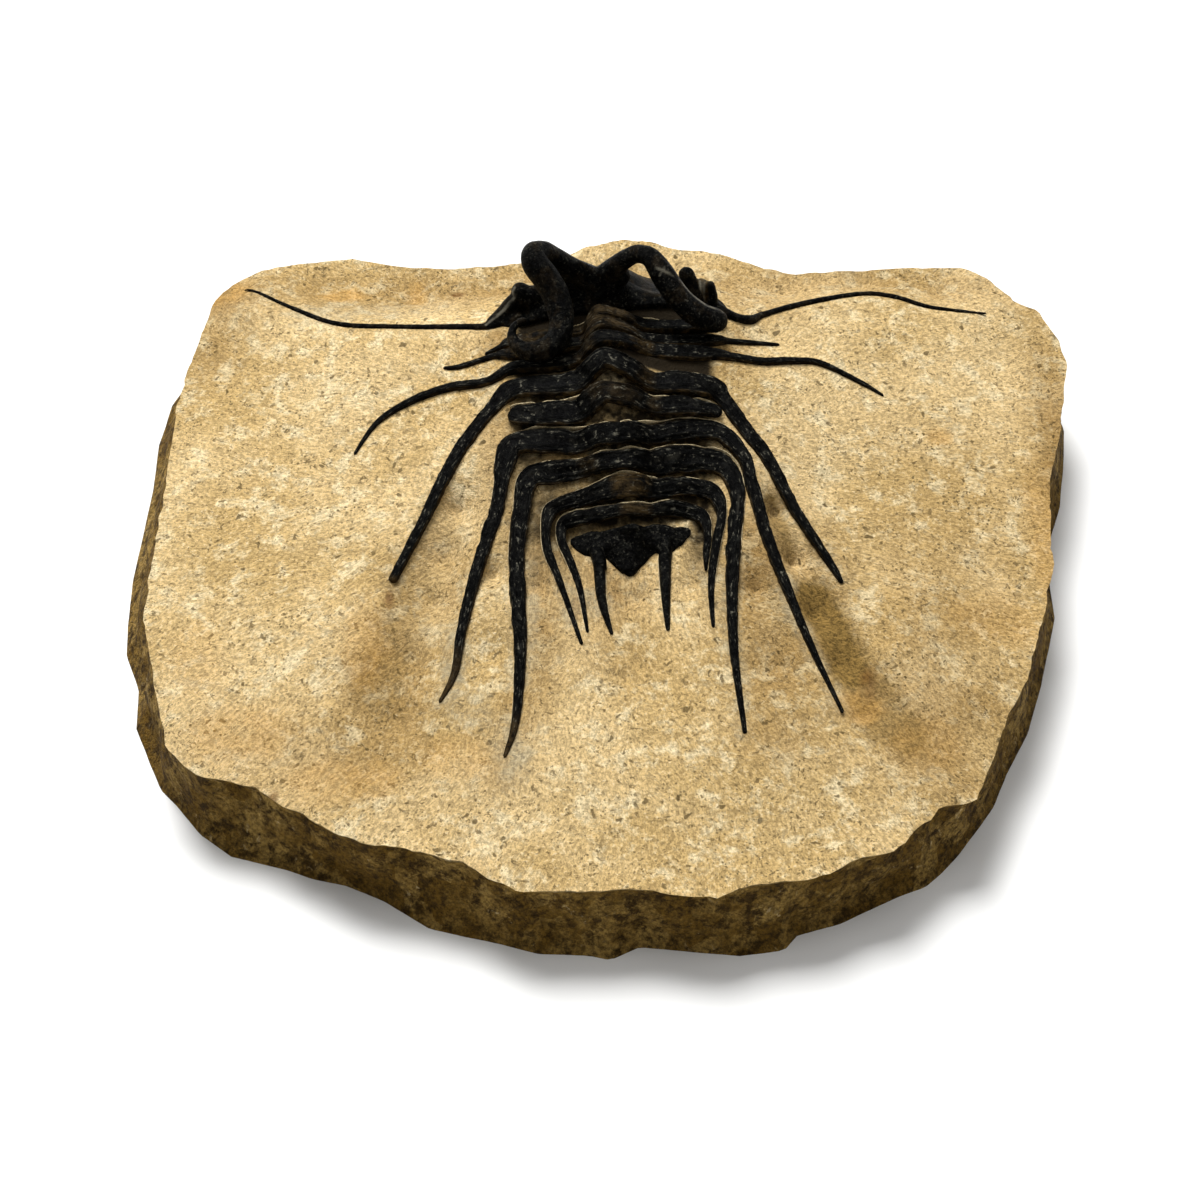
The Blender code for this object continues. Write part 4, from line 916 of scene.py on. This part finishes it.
# Distances outside a plate's front edge and outside its rear edge: across the plate from its middle
# line less half its width, and past its tip the distance to the tip. Negative means inside the edge
def besidePlate(flat, line):
    path, across = line["path"], line["across"]
    frontGap = np.empty(len(flat))
    rearGap = np.empty(len(flat))
    for start in range(0, len(flat), 20000):
        part = flat[start:start + 20000]
        squared = (part[:, :1] - path[:, 0]) ** 2 + (part[:, 1:2] - path[:, 1]) ** 2
        best = squared.argmin(axis=1)
        offset = part - path[best, :2]
        side = (offset * across[best, :2]).sum(axis=1)
        beyond = np.sqrt(np.maximum(squared[np.arange(len(part)), best] - side ** 2, 0))
        half = path[best, 3] / 2
        past = np.maximum(beyond - 0.3, 0)
        for gap, out in ((frontGap, -side - half), (rearGap, side - half)):
            outside = (out > 0) | (past > 0)
            gap[start:start + 20000] = np.where(outside, np.hypot(np.maximum(out, 0), past), out)
    return frontGap, rearGap


# Middle lines of everything that lies on the rock, with the direction towards the rear or inner side
def makePlateLines():
    lines = []
    for index in range(len(thorax["rings"])):
        path = smoothRoute(ringLine(index), 0.5)
        across = pathFrames(path, np.array([0.0, 0.0, 1.0]))[1]
        lines.append(dict(path=path, across=across, kind="band", turn=1))
    spines = ((head["genalLeft"][1:], -1), (head["genalRight"][1:], 1),
              (tail["spineLeft"], 1), (tail["spineRight"], -1))
    for route, turn in spines:
        path = smoothRoute(route, 0.5)
        path = np.column_stack([path, path[:, 3]])
        across = pathFrames(path, np.array([0.0, 0.0, 1.0]))[1] * turn
        lines.append(dict(path=path, across=across, kind="spine", turn=turn))
    back = np.array([(*p, 0.5, 1.7) for p in head["outline"][-6:] + head["outline"][:1]])
    path = smoothRoute(back, 0.5)
    across = pathFrames(path, np.array([0.0, 0.0, 1.0]))[1] * -1
    lines.append(dict(path=path, across=across, kind="headBack", turn=-1))
    return lines


plateLines = makePlateLines()

# Patches of colour on the rock: middle, radii and strength
rockPatches = {
    "ochre": [
        ((-38, 45.5), (3.6, 1.6), 0.6), ((-28, 46), (1.6, 3.4), 0.5), ((44, 18), (2.0, 1.6), 0.5),
        ((-19, -33), (5.0, 3.0), 0.35), ((30, -26), (3.0, 2.4), 0.5), ((-31, -17), (3.0, 6.0), 0.35),
        ((49, -12), (6.0, 4.0), 0.3), ((-46, -29), (7.0, 4.0), 0.4), ((-34, -36), (8.0, 3.0), 0.4),
        ((-52, -18), (4.0, 6.0), 0.25), ((38, -31), (5.0, 4.0), 0.3), ((57, 2), (3.0, 12.0), 0.35),
        ((-56, 47), (4.0, 3.0), 0.5),
    ],
    "rust": [
        ((-41, -38.5), (0.5, 1.2), 1.0), ((-22, 45), (0.9, 0.7), 1.0), ((31.5, -22.5), (1.2, 2.4), 0.6),
        ((-28.6, -9.5), (0.7, 1.6), 0.8), ((-4.8, -11.5), (0.6, 2.2), 0.7), ((51, -26), (2.0, 0.8), 0.6),
    ],
    "grey": [
        ((-20, -21), (1.6, 7.0), 0.7), ((-12.5, -33), (2.4, 4.5), 0.6), ((-33, 41), (13.0, 3.0), 0.4),
        ((-10.5, -12), (1.1, 8.0), 0.45), ((-17.5, -27), (3.0, 3.0), 0.4),
    ],
    # painted shade: broad darker bells round the fossil, between the spines and along the edges
    "shade": [
        ((-26, -12), (4.5, 9), 0.35), ((-28, -22), (7.0, 9.0), 0.7), ((-33, -33), (14, 6.5), 0.5),
        ((-48, -30), (7, 6), 0.2), ((-1, -8), (6.5, 8.5), 0.75), ((-9.2, -12), (2.6, 14), 0.85),
        ((1, -20), (6, 5), 0.15), ((18, -4), (5.5, 13), 0.8), ((21, -20), (6.5, 10), 0.7),
        ((27, -9), (3.6, 9), 0.7), ((40, -14), (8, 12), 0.5), ((38, -30), (8, 8), 0.6),
        ((-18, 46), (36, 5.5), 0.55), ((-57, 47), (6, 5), 0.9), ((38, 47), (26, 5), 0.6),
        ((60.5, 14), (4.2, 25), 1.0), ((-9, 46), (16, 3), 0.3), ((0, 14), (24, 24), 0.12),
        ((47, 2), (13, 24), 0.3), ((33, -24), (5, 4), 0.5),
        ((45, -25), (6, 4), 0.4), ((-13.5, -35.5), (3, 3.5), 0.6), ((41, -36), (6, 4), 0.45),
        ((17.5, 30), (3, 4), 0.7), ((-15.5, 30), (3, 3.5), 0.85),
        ((21, 40), (8, 6), 0.6), ((-12, -28), (3.5, 6), 0.6), ((19.5, -31), (5, 4), 0.5),
        ((-56, 40), (6, 12), 0.6), ((-15, 12), (3, 14), 0.6), ((15.5, 27), (3, 5), 0.7),
        ((-20, -9), (2.5, 8), 0.5), ((-46, 46), (10, 5), 0.35),
    ],
    # painted shade on the brown walls of the troughs: a line, its reach and strength
    "troughShade": [
        ([(25.4, -9.0), (26.8, -12.5), (28.4, -17.5), (30.0, -21.5)], 2.9, 1.0),
        ([(30.0, -21.5), (32.6, -27.0), (35.0, -30.0)], 3.4, 0.6),
        ([(20.6, 5.0), (21.6, 1.0), (22.4, -2.0)], 1.2, 0.7),
        ([(20.6, -8.0), (21.8, -15.0)], 1.4, 0.3),
        ([(-22.5, 3.0), (-25.4, -6.0), (-27.4, -15.0), (-29.6, -24.0)], 3.6, 0.32),
    ],
}


# Soft oval patches with uneven edges: 1 inside, 0 outside
def patchMask(points, patches, seed):
    total = np.zeros(len(points))
    wobble = roughNoise(points, 2.2, seed)
    for (cx, cy), (rx, ry), strength in patches:
        reach = np.hypot((points[:, 0] - cx) / rx, (points[:, 1] - cy) / ry) + 0.35 * wobble
        total = np.maximum(total, strength * ramp(reach, 1.25, 0.65))
    return total


# Broad shading from overlapping bells, with a little noise in their strength
def softPatches(points, patches, seed):
    clear = np.ones(len(points))
    wobble = 1 + 0.35 * roughNoise(points, 4.0, seed)
    for (cx, cy), (rx, ry), strength in patches:
        reach = ((points[:, 0] - cx) / rx) ** 2 + ((points[:, 1] - cy) / ry) ** 2
        clear *= 1 - np.clip(strength * wobble, 0, 1) * np.exp(-1.1 * reach)
    return 1 - clear


# Soft bands with uneven edges along lines on the rock
def bandMask(points, lines, seed):
    total = np.zeros(len(points))
    wobble = roughNoise(points, 3.0, seed)
    for line, reach, strength in lines:
        route = smoothRoute([(x, y, 0.0) for x, y in line], 1.0)[:, :2]
        away = leastDistance(points[:, :2], route) / reach - 0.3 * wobble
        total = np.maximum(total, strength * ramp(away, 1.2, 0.6))
    return total


# Distances from places on the rock to the nearest plate and to the second nearest ring
def plateDistances(flat):
    near, rings = np.full(len(flat), 99.0), []
    for line in plateLines:
        front, rear = besidePlate(flat, line)
        gap = np.maximum(front, rear)
        near = np.minimum(near, gap)
        if line["kind"] != "spine":
            rings.append(gap)
    return near, np.sort(np.array(rings), axis=0)[1]


# Top of the rock on a polar grid: its height passes through the known points, waves from broad to fine
# fade beside the plates, and it is cut back between the rings. Returned with it are the ground without
# waves, the distance to the nearest plate and how far each place lies in a gap
def rockTop(height, rim, share):
    middle = np.array(block["middle"])
    flat = middle + (rim[None, :, :2] - middle) * share[:, None, None]
    flat = np.concatenate([middle[None], flat.reshape(-1, 2)])
    ground = np.column_stack([flat, height(flat)])
    near, second = plateDistances(flat)
    gap = ramp(second, *block["gapReach"]) * ramp(np.abs(flat[:, 0]), *block["gapSides"])
    gap *= ramp(flat[:, 1], *block["gapBack"])
    (swell, swellSize), (ripple, rippleSize) = block["swell"], block["ripple"]
    (grit, gritSize), (gapGrit, gapGritSize) = block["grit"], block["gapGrit"]
    relief = (swell * softNoise(ground, swellSize, 31)
              + ripple * roughNoise(ground, rippleSize, 32))
    fine = (grit * roughNoise(ground, gritSize, 33)
            + gapGrit * gap * roughNoise(ground, gapGritSize, 35))
    edge = ramp(np.concatenate([[0], np.repeat(share, block["spokes"])]), 1, 0.95)
    under = block["underPlates"]
    top = ground.copy()
    top[:, 2] += (relief * edge + fine) * (under + (1 - under) * ramp(near, 0.3, 3.3))
    top[:, 2] -= block["gapDepth"] * gap
    return top, ground, near, gap


# Broken wall: rows of points from the rim down to the base, set back by facets of two sizes and a
# little grit, which die away at both edges
def rockWalls(rim, base, rimHigh, outward):
    bigDepth, bigLength, bigHeight = block["bigChips"]
    smallDepth, smallLength, smallHeight = block["smallChips"]
    gritDepth, gritSize = block["wallGrit"]
    around = np.concatenate([[0], np.cumsum(np.linalg.norm(np.diff(rim[:, :2], axis=0), axis=1))])
    slant = around / block["chipSlant"]
    rows = block["wallRows"]
    walls = []
    for t in (np.arange(1, rows + 1) / rows) ** 1.15:
        line = rim[:, :2] * (1 - t) + base * t
        low = rimHigh * (1 - t)
        chips = (bigDepth * facetNoise(around / bigLength, low / bigHeight + slant, 41)
                 + smallDepth * facetNoise(around / smallLength, low / smallHeight, 42)
                 + gritDepth * roughNoise(np.column_stack([line, low]), gritSize, 43))
        keep = ramp(t, 0, 1 / 7) * ramp(t, 1.024, 0.824)
        line = line - outward * (block["wallChips"] * chips * keep)[:, None]
        walls.append(np.column_stack([line, low]))
    return walls


# Colour masks of the rock. Zones: broken wall, pale edge, painted shade in the gaps. Stains: ochre,
# rust, grey. Tints: painted shade on the trough walls, dark specks, painted shade round the fossil
def rockMasks(count, top, ground, near, gap):
    x, y = ground[:, 0], ground[:, 1]
    zones, stains, tints = (np.zeros((count, 3)) for _ in range(3))
    onTop = slice(0, len(top))
    zones[len(top):, 0] = 1.0
    # painted shade in the gaps between the rings, stronger towards the head and the right, and near
    # black between the front rings
    gapShade = gap * (0.66 + 0.29 * np.maximum(ramp(y, 9, 13), ramp(x, -4, -1)))
    mottle = 1 + 0.35 * roughNoise(ground, 0.8, 51) + 0.15 * softNoise(ground, 2.4, 52)
    front = ramp(y, 20.5, 22) * ramp(y, 36.8, 35.8) * ramp(np.abs(x), 14.3, 12.8)
    zones[onTop, 2] = np.clip(np.maximum(gapShade * mottle, 0.99 * front), 0, 0.99)
    for channel, key in enumerate(("ochre", "rust", "grey")):
        stains[onTop, channel] = patchMask(top, rockPatches[key], 61 + channel)
    # thin grey line left by tools along the tail spines
    halo = np.exp(-((near - 0.35) / 0.5) ** 2) * ramp(y, -2, -8)
    halo *= np.clip(0.35 + 0.8 * softNoise(ground, 3.5, 64), 0, 0.55)
    stains[onTop, 2] = np.maximum(stains[onTop, 2], halo)
    # painted shade: brown on the trough walls, and broad darkening round the fossil
    tints[onTop, 0] = bandMask(top, rockPatches["troughShade"], 65)
    tints[onTop, 2] = softPatches(top, rockPatches["shade"], 67)
    speckle = np.clip((near - 0.8) / 6, 0.3, 1) * (0.75 + 0.35 * softNoise(ground, 7, 66))
    tints[onTop, 1] = np.maximum(speckle, 0.9 * tints[onTop, 2])
    return {"zones": zones, "stains": stains, "tints": tints}


# Rock: loops of points outward over the top and down the wall, closed by one point in the middle of the
# top, first in the list, and one in the middle of the flat underside, last
def makeRock(height):
    spokes, rings = block["spokes"], block["rings"]
    angle = np.arange(spokes) * 2 * math.pi / spokes
    outward = np.column_stack([np.cos(angle), np.sin(angle)])
    rim, base = outlineAt(block["rim"], angle), outlineAt(block["base"], angle)
    jag, jagSize = block["jag"]
    rim[:, :2] -= outward * (jag + jag * roughNoise(rim, jagSize, 11))[:, None]
    share = (np.arange(1, rings + 1) / rings) ** block["ringPower"]
    top, ground, near, gap = rockTop(height, rim, share)
    walls = rockWalls(rim, base, top[-spokes:, 2], outward)
    points = np.concatenate([top] + walls + [[(0.0, 0.0, 0.0)]])
    loops = rings + block["wallRows"]
    order = np.append(np.arange(1, loops * spokes + 1), [0, loops * spokes + 1])
    quads, tris = (order[faces] for faces in tubeFaces(loops, spokes))
    mesh = makeMesh("rock", points, quads, tris, rockMasks(len(points), top, ground, near, gap))
    mesh.set_sharp_from_angle(angle=math.radians(42))
    made = placeObject("rock", mesh, limestone)
    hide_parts("matrix")
    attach(made, "root")
    print("rock built:", len(quads) * 2 + len(tris), "triangles")
    return made


# Pale edges of rock left along the front or outer side of each plate: a small oval carried along the
# edge, with a height that comes and goes with noise
def makeLips(height):
    sides = block["lipSides"]
    angle = np.arange(sides) * 2 * math.pi / sides
    shapes = []
    for number, line in enumerate(plateLines):
        if line["kind"] == "headBack":
            continue
        fine = smoothRoute(line["path"], block["lipStep"])
        place, width = fine[:, :3], fine[:, 3]
        across = pathFrames(fine, np.array([0.0, 0.0, 1.0]))[1][:, :2] * line["turn"]
        strength = np.clip(0.66 + 1.1 * softNoise(place, 1.7, 131 + number), 0, 1)
        strength *= np.clip(width / 1.7, 0.4, 1)
        offset = width / 2 + 0.05 + 0.05 * softNoise(place, 1.1, 141 + number)
        spot = place[:, :2] - across * offset[:, None]
        level = height(spot) - 0.12
        uneven = 0.35 * softNoise(place, 0.7, 161 + number) ** 2
        wide = block["lipWidth"] * (0.35 + 0.5 * strength + uneven)
        tall = block["lipHeight"] * strength + 0.04
        outward = (wide[:, None] * np.cos(angle))[..., None] * across[:, None]
        high = level[:, None] + tall[:, None] * np.sin(angle)
        rings = np.concatenate([spot[:, None] - outward, high[..., None]], axis=2)
        ends = np.column_stack([spot[[0, -1]], level[[0, -1]]])
        if line["turn"] > 0:
            rings = rings[:, ::-1]
        shapes.append((np.concatenate([rings.reshape(-1, 3), ends]), *tubeFaces(len(fine), sides)))
    points, quads, tris = joinShapes(shapes)
    zones, stains, tints = (np.zeros((len(points), 3)) for _ in range(3))
    zones[:, 1] = 0.75 + 0.25 * softNoise(points, 0.8, 151)
    tints[:, 1] = 0.3
    mesh = makeMesh("rockLips", points, quads, tris,
                    {"zones": zones, "stains": stains, "tints": tints})
    made = placeObject("rockLips", mesh, limestone)
    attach(made, "root")
    print("pale edges built:", len(quads) * 2 + len(tris), "triangles")
    return made


# Share of a band's brown rock at each station: towards the tips of some spines, and in patches
def brownAlong(index, path, length):
    ends, patches = np.zeros(len(path)), np.zeros(len(path))
    for (ring, way), reach in thorax["brownTips"].items():
        if ring == index:
            fromTip = length if way < 0 else length[::-1]
            ends = np.maximum(ends, np.clip(1.4 - 1.4 * fromTip / reach, 0, 1))
    for ring, low, high, strength in thorax["residues"]:
        if ring == index:
            inside = np.minimum(path[:, 0] - low, high - path[:, 0]) + 0.5
            patches = np.maximum(patches, strength * np.clip(inside, 0, 1))
    return ends[:, None], patches[:, None]


# One body ring: a rounded profile with a lengthwise groove on each side band, carried along its line
def makeBand(index):
    path = smoothRoute(ringLine(index), thorax["step"])
    fromAxis = np.abs(path[:, 0] - thorax["rings"][index][3][0])
    share = ramp(fromAxis, 8, 14)[:, None]
    up = leanOfRing(index) * (1 - share) + np.array([0, 0, 1]) * share
    along, across, lift = pathFrames(path, up)
    sides = thorax["sides"]
    angle = (np.arange(sides) + 0.5) * 2 * math.pi / sides
    power = 2 / thorax["squareness"]
    side = np.sign(np.cos(angle)) * np.abs(np.cos(angle)) ** power
    rise = np.sign(np.sin(angle)) * np.abs(np.sin(angle)) ** power
    length = np.arange(len(path)) * thorax["step"]
    end = np.minimum(length, length[::-1]) / np.maximum(path[:, 3] / 2, 0.1)
    dome = np.sqrt(np.clip(1 - (1 - np.clip(end, 0, 1)) ** 2, 0.03, 1))
    broad = ramp(path[:, 3], 1.2, 2.1)[:, None]
    onBand = ramp(fromAxis, 3.9, 5.1)[:, None] * broad
    # the groove wanders a little, and the part behind it stands lower than the part in front
    wander = 0.12 + 0.12 * softNoise(path[:, :3], 3.0, 61 + index)
    fromGroove = side[None, :] - wander[:, None]
    groove = np.exp(-(fromGroove / 0.13) ** 2)
    uneven = 1 + (0.03 + 0.06 * broad[:, 0]) * roughNoise(path[:, :3], 1.6, 71 + index)
    wide = (path[:, 3] / 2 * dome * uneven)[:, None]
    thick = (path[:, 4] / 2 * dome)[:, None]
    carve = (thorax["pleuralFurrow"] * groove + 0.26 * ramp(fromGroove, 0, 0.5)) * onBand
    tall = rise[None, :] * (1 - (carve + thorax["lowered"] * broad) * (rise > 0))
    rings = (path[:, None, :3] + (wide * side)[..., None] * across[:, None]
             + (thick * tall)[..., None] * lift[:, None])
    # lengthwise ribs: noise stretched along the band, and a sharp rim at the front edge
    ribPlace = np.stack(np.broadcast_arrays(length[:, None] / 3.4, side[None, :] * wide * 3.1,
                                            float(index) * 7), axis=-1)
    ribs = softNoise(ribPlace, 1.0, 83) + 0.7 * softNoise(ribPlace * [1.6, 2.1, 1], 1.0, 84)
    rim = thorax["frontRim"] * np.exp(-((side[None, :] + 0.86) / 0.1) ** 2)
    rim = rim * (0.6 + 0.4 * softNoise(ribPlace * [1, 0, 1], 1.0, 85))
    upward = (thorax["striae"] * ribs + rim) * broad
    rings = rings + (upward * (rise > 0))[..., None] * lift[:, None]
    outward = rings - path[:, None, :3]
    outward /= np.linalg.norm(outward, axis=2)[..., None]
    bumps = (thorax["knobs"] * roughNoise(rings, 0.7, 81 + index)
             + (0.04 + 0.08 * broad) * softNoise(rings * [1, 1.6, 1], 1.9, 91 + index))
    rings = rings + outward * (bumps * np.clip(wide / 0.9, 0.2, 1))[..., None]
    points = np.concatenate([rings.reshape(-1, 3), path[:1, :3], path[-1:, :3]])
    quads, tris = tubeFaces(len(path), sides)
    # marks: pale nicks on the crest in front of the groove, brown rock at the hems and in the patches,
    # and wear on the top
    noise = softNoise(rings, 0.8, 101 + index)
    broken = np.clip(softNoise(rings, 1.3, 107 + index) * 2.2 - 0.1, 0, 1)
    crest = np.exp(-((fromGroove + 0.16) / 0.05) ** 2) * (rise > 0) * onBand
    hem = ramp(np.abs(side), 0.84, 0.96)[None, :] * np.clip(wide, 0, 1)
    hem = hem * np.where(side > 0, 1, 0.5)
    ends, patches = brownAlong(index, path, length)
    streaks = softNoise(ribPlace * [2.0, 1.3, 1], 1.0, 86)
    brown = np.maximum(hem * (0.45 + 0.6 * noise), patches * np.clip(0.75 + 0.8 * streaks, 0, 1))
    brown = np.maximum(brown, ends * (0.75 + 0.3 * noise))
    worn = np.clip(rise, 0, 1)[None, :] * (0.5 + 0.5 * noise)
    marks = np.zeros((len(points), 3))
    marks[:-2] = np.stack([0.4 * crest * broken, brown, worn], axis=-1).reshape(-1, 3)
    uvs = tubeUvs(len(path), sides, thorax["step"], 2.2 * math.pi / sides)
    mesh = makeMesh("thoraxBand%d" % (index + 1), points, quads, tris, {"marks": marks}, uvs)
    made = placeObject("thoraxBand%d" % (index + 1), mesh, bandShell)
    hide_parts("thorax_segment_%d" % (index + 1))
    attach(made, "root")
    return made


# UV map of a tube in millimetres: u along it, v round it, with the seam where the last side closes
def tubeUvs(rows, sides, alongStep, roundStep):
    i = np.arange(rows - 1)[:, None] * np.ones(sides)
    j = np.ones(rows - 1)[:, None] * np.arange(sides)
    u = np.stack([i, i + 1, i + 1, i], axis=-1) * alongStep
    v = np.stack([j, j, j + 1, j + 1], axis=-1) * roundStep
    quads = np.stack([u, v], axis=-1).reshape(-1, 2)
    j = np.arange(sides)
    first = np.stack([np.zeros(sides), j * roundStep, np.zeros(sides), j * roundStep,
                      np.zeros(sides), (j + 1) * roundStep], axis=1).reshape(-1, 2)
    far = np.full(sides, (rows - 1) * alongStep)
    last = np.stack([far, j * roundStep, far, (j + 1) * roundStep, far, j * roundStep],
                    axis=1).reshape(-1, 2)
    return np.concatenate([quads, first, last])


# A plate with a given outline: its top is a function of place, its underside lies just below the edge
def platePoints(outline, centre, dome, lobes, spokes, rings, depth):
    edge = closedLoop(outline, spokes)[:, :3]
    centre = np.array(centre)
    middle = edge[:, 2].mean()
    top = []
    for i in range(rings + 1):
        share = i / rings
        flat = centre + (edge[:, :2] - centre) * share
        high = middle * (1 - share) + edge[:, 2] * share + dome * (1 - share ** 2.4)
        for lobe in lobes:
            span = (flat - lobe["at"]) / lobe["size"]
            high = high + lobe["height"] * np.exp(-(span ** 2).sum(axis=1) * 1.4) * (1 - share ** 6)
        rows = np.column_stack([flat, high])
        top.append(rows if i else rows[:1])
    under = [rows - [0, 0, depth] for rows in top]
    half = 1 + rings * spokes
    quads, tris = [], []
    j = np.arange(spokes)
    k = (j + 1) % spokes
    for start, turn in ((0, 1), (half, -1)):
        tris.append(np.stack([np.full(spokes, start), start + 1 + j, start + 1 + k], axis=1)[:, ::turn])
        for i in range(rings - 1):
            a, b = start + 1 + i * spokes, start + 1 + (i + 1) * spokes
            quads.append(np.stack([a + j, b + j, b + k, a + k], axis=1)[:, ::turn])
    rim = 1 + (rings - 1) * spokes
    quads.append(np.stack([rim + j, half + rim + j, half + rim + k, rim + k], axis=1))
    return np.concatenate(top + under), np.concatenate(quads), np.concatenate(tris)


# Head: shield, genal spines, trunk, horns and eyes fused into one shell
def makeHead():
    shapes = [platePoints(head["outline"], head["centre"], head["dome"], head["lobes"], 120, 30, 3.3)]
    for key in ("genalLeft", "genalRight", "trunk", "webLeft", "webRight", "cheekLeft", "cheekEdge",
                "hornLeft", "hornRight", "eyeLeft", "eyeRightInner", "eyeRightOuter", "eyeRightMiddle"):
        shapes.append(barPoints(head[key]))
    mesh = fuseShapes("headShell", shapes, head["voxel"])
    points = meshPoints(mesh)
    points = points + meshNormals(mesh) * (0.05 * roughNoise(points, 1.1, 111))[:, None]
    movePoints(mesh, points)
    marks = np.zeros((len(points), 3))
    middle = nearLine(points, [p[:3] for p in head["eyeRightMiddle"]], 1.25)
    marks[:, 0] = middle * np.clip(0.35 + 0.9 * softNoise(points * [3.2, 1, 0.7], 1.0, 113), 0, 0.8)
    for line, reach, strength in head["scratches"]:
        marks[:, 0] = np.maximum(marks[:, 0], strength * nearLine(points, line, reach))
    marks[:, 0] *= np.clip(0.8 + 0.9 * softNoise(points, 0.6, 115), 0.1, 1)
    brown = np.clip(0.9 * roughNoise(points, 1.5, 114), 0, 0.13)
    marks[:, 1] = np.maximum(1.5 * middle, brown)
    marks[:, 2] = 0.4 + 0.4 * softNoise(points, 2.0, 112)
    setMask(mesh, "marks", marks)
    made = placeObject("headShell", mesh, blackShell)
    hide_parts("cephalon")
    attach(made, "root")
    print("head built:", len(mesh.polygons) * 2, "triangles")
    return made


# Tail: a faceted shield with a raised axis and its two spines, fused into one shell
def makeTail():
    shapes = [platePoints(tail["outline"], tail["centre"], tail["dome"], tail["lobes"], 80, 20, 1.4),
              barPoints(tail["spineLeft"]), barPoints(tail["spineRight"])]
    mesh = fuseShapes("tailShell", shapes, tail["voxel"], 2)
    points = meshPoints(mesh)
    facets = facetNoise(points[:, 0] / 1.7, points[:, 1] / 1.4, 122) - 0.5
    bumps = 0.05 * roughNoise(points, 1.3, 121) + 0.45 * facets * (points[:, 1] > -5.5)
    points = points + meshNormals(mesh) * bumps[:, None]
    movePoints(mesh, points)
    marks = np.zeros((len(points), 3))
    marks[:, 2] = 0.3
    setMask(mesh, "marks", marks)
    made = placeObject("tailShell", mesh, blackShell)
    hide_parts("pygidium")
    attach(made, "root")
    print("tail built:", len(mesh.polygons) * 2, "triangles")
    return made


# Plain floor, soft lights and the camera
def makeStudio():
    half = studio["floorHalf"]
    mesh = bpy.data.meshes.new("floor")
    mesh.from_pydata([(-half, -half, 0), (half, -half, 0), (half, half, 0), (-half, half, 0)], [],
                     [(0, 1, 2, 3)])
    made, tree, shader, where, _ = newMaterial("floorPaper")
    tone = (*studio["floorTone"], 1)
    paper = mixColour(tree, noiseOf(tree, where, 0.05, 2.0), tone, tuple(c * 0.985 for c in tone))
    tree.links.new(paper, shader.inputs["Base Color"])
    shader.inputs["Roughness"].default_value = 0.95
    shader.inputs["Specular IOR Level"].default_value = 0.1
    floor = placeObject("floor", mesh, made)
    world = bpy.data.worlds.new("studioWorld")
    world.use_nodes = True
    background = world.node_tree.nodes["Background"]
    background.inputs["Color"].default_value = (*studio["worldTone"], 1)
    background.inputs["Strength"].default_value = studio["worldStrength"]
    bpy.context.scene.world = world
    for name, place, aim, size, power in studio["lights"]:
        data = bpy.data.lights.new(name, "AREA")
        data.size, data.energy = size * mm, power
        lamp = bpy.data.objects.new(name, data)
        bpy.context.scene.collection.objects.link(lamp)
        lamp.location = [v * mm for v in place]
        heading = np.array(aim, float) - np.array(place, float)
        flat = math.hypot(heading[0], heading[1])
        turn = math.atan2(heading[1], heading[0]) - math.pi / 2
        lamp.rotation_euler = (math.atan2(flat, -heading[2]), 0, turn)
    data = bpy.data.cameras.new("photoCamera")
    data.sensor_width, data.lens = 36.0, studio["lens"]
    data.clip_start, data.clip_end = 0.01, 20
    camera = bpy.data.objects.new("photoCamera", data)
    bpy.context.scene.collection.objects.link(camera)
    camera.location = [v * mm for v in studio["cameraAt"]]
    camera.rotation_euler = (math.radians(studio["cameraTilt"]), 0, 0)
    bpy.context.scene.camera = camera
    bpy.context.scene.view_settings.view_transform = "Standard"
    print("studio built")


rockHeight = fitGround()
print("rock heights fitted")
makeRock(rockHeight)
makeLips(rockHeight)
for bandIndex in range(len(thorax["rings"])):
    makeBand(bandIndex)
print("body rings built")
makeHead()
makeTail()
makeStudio()
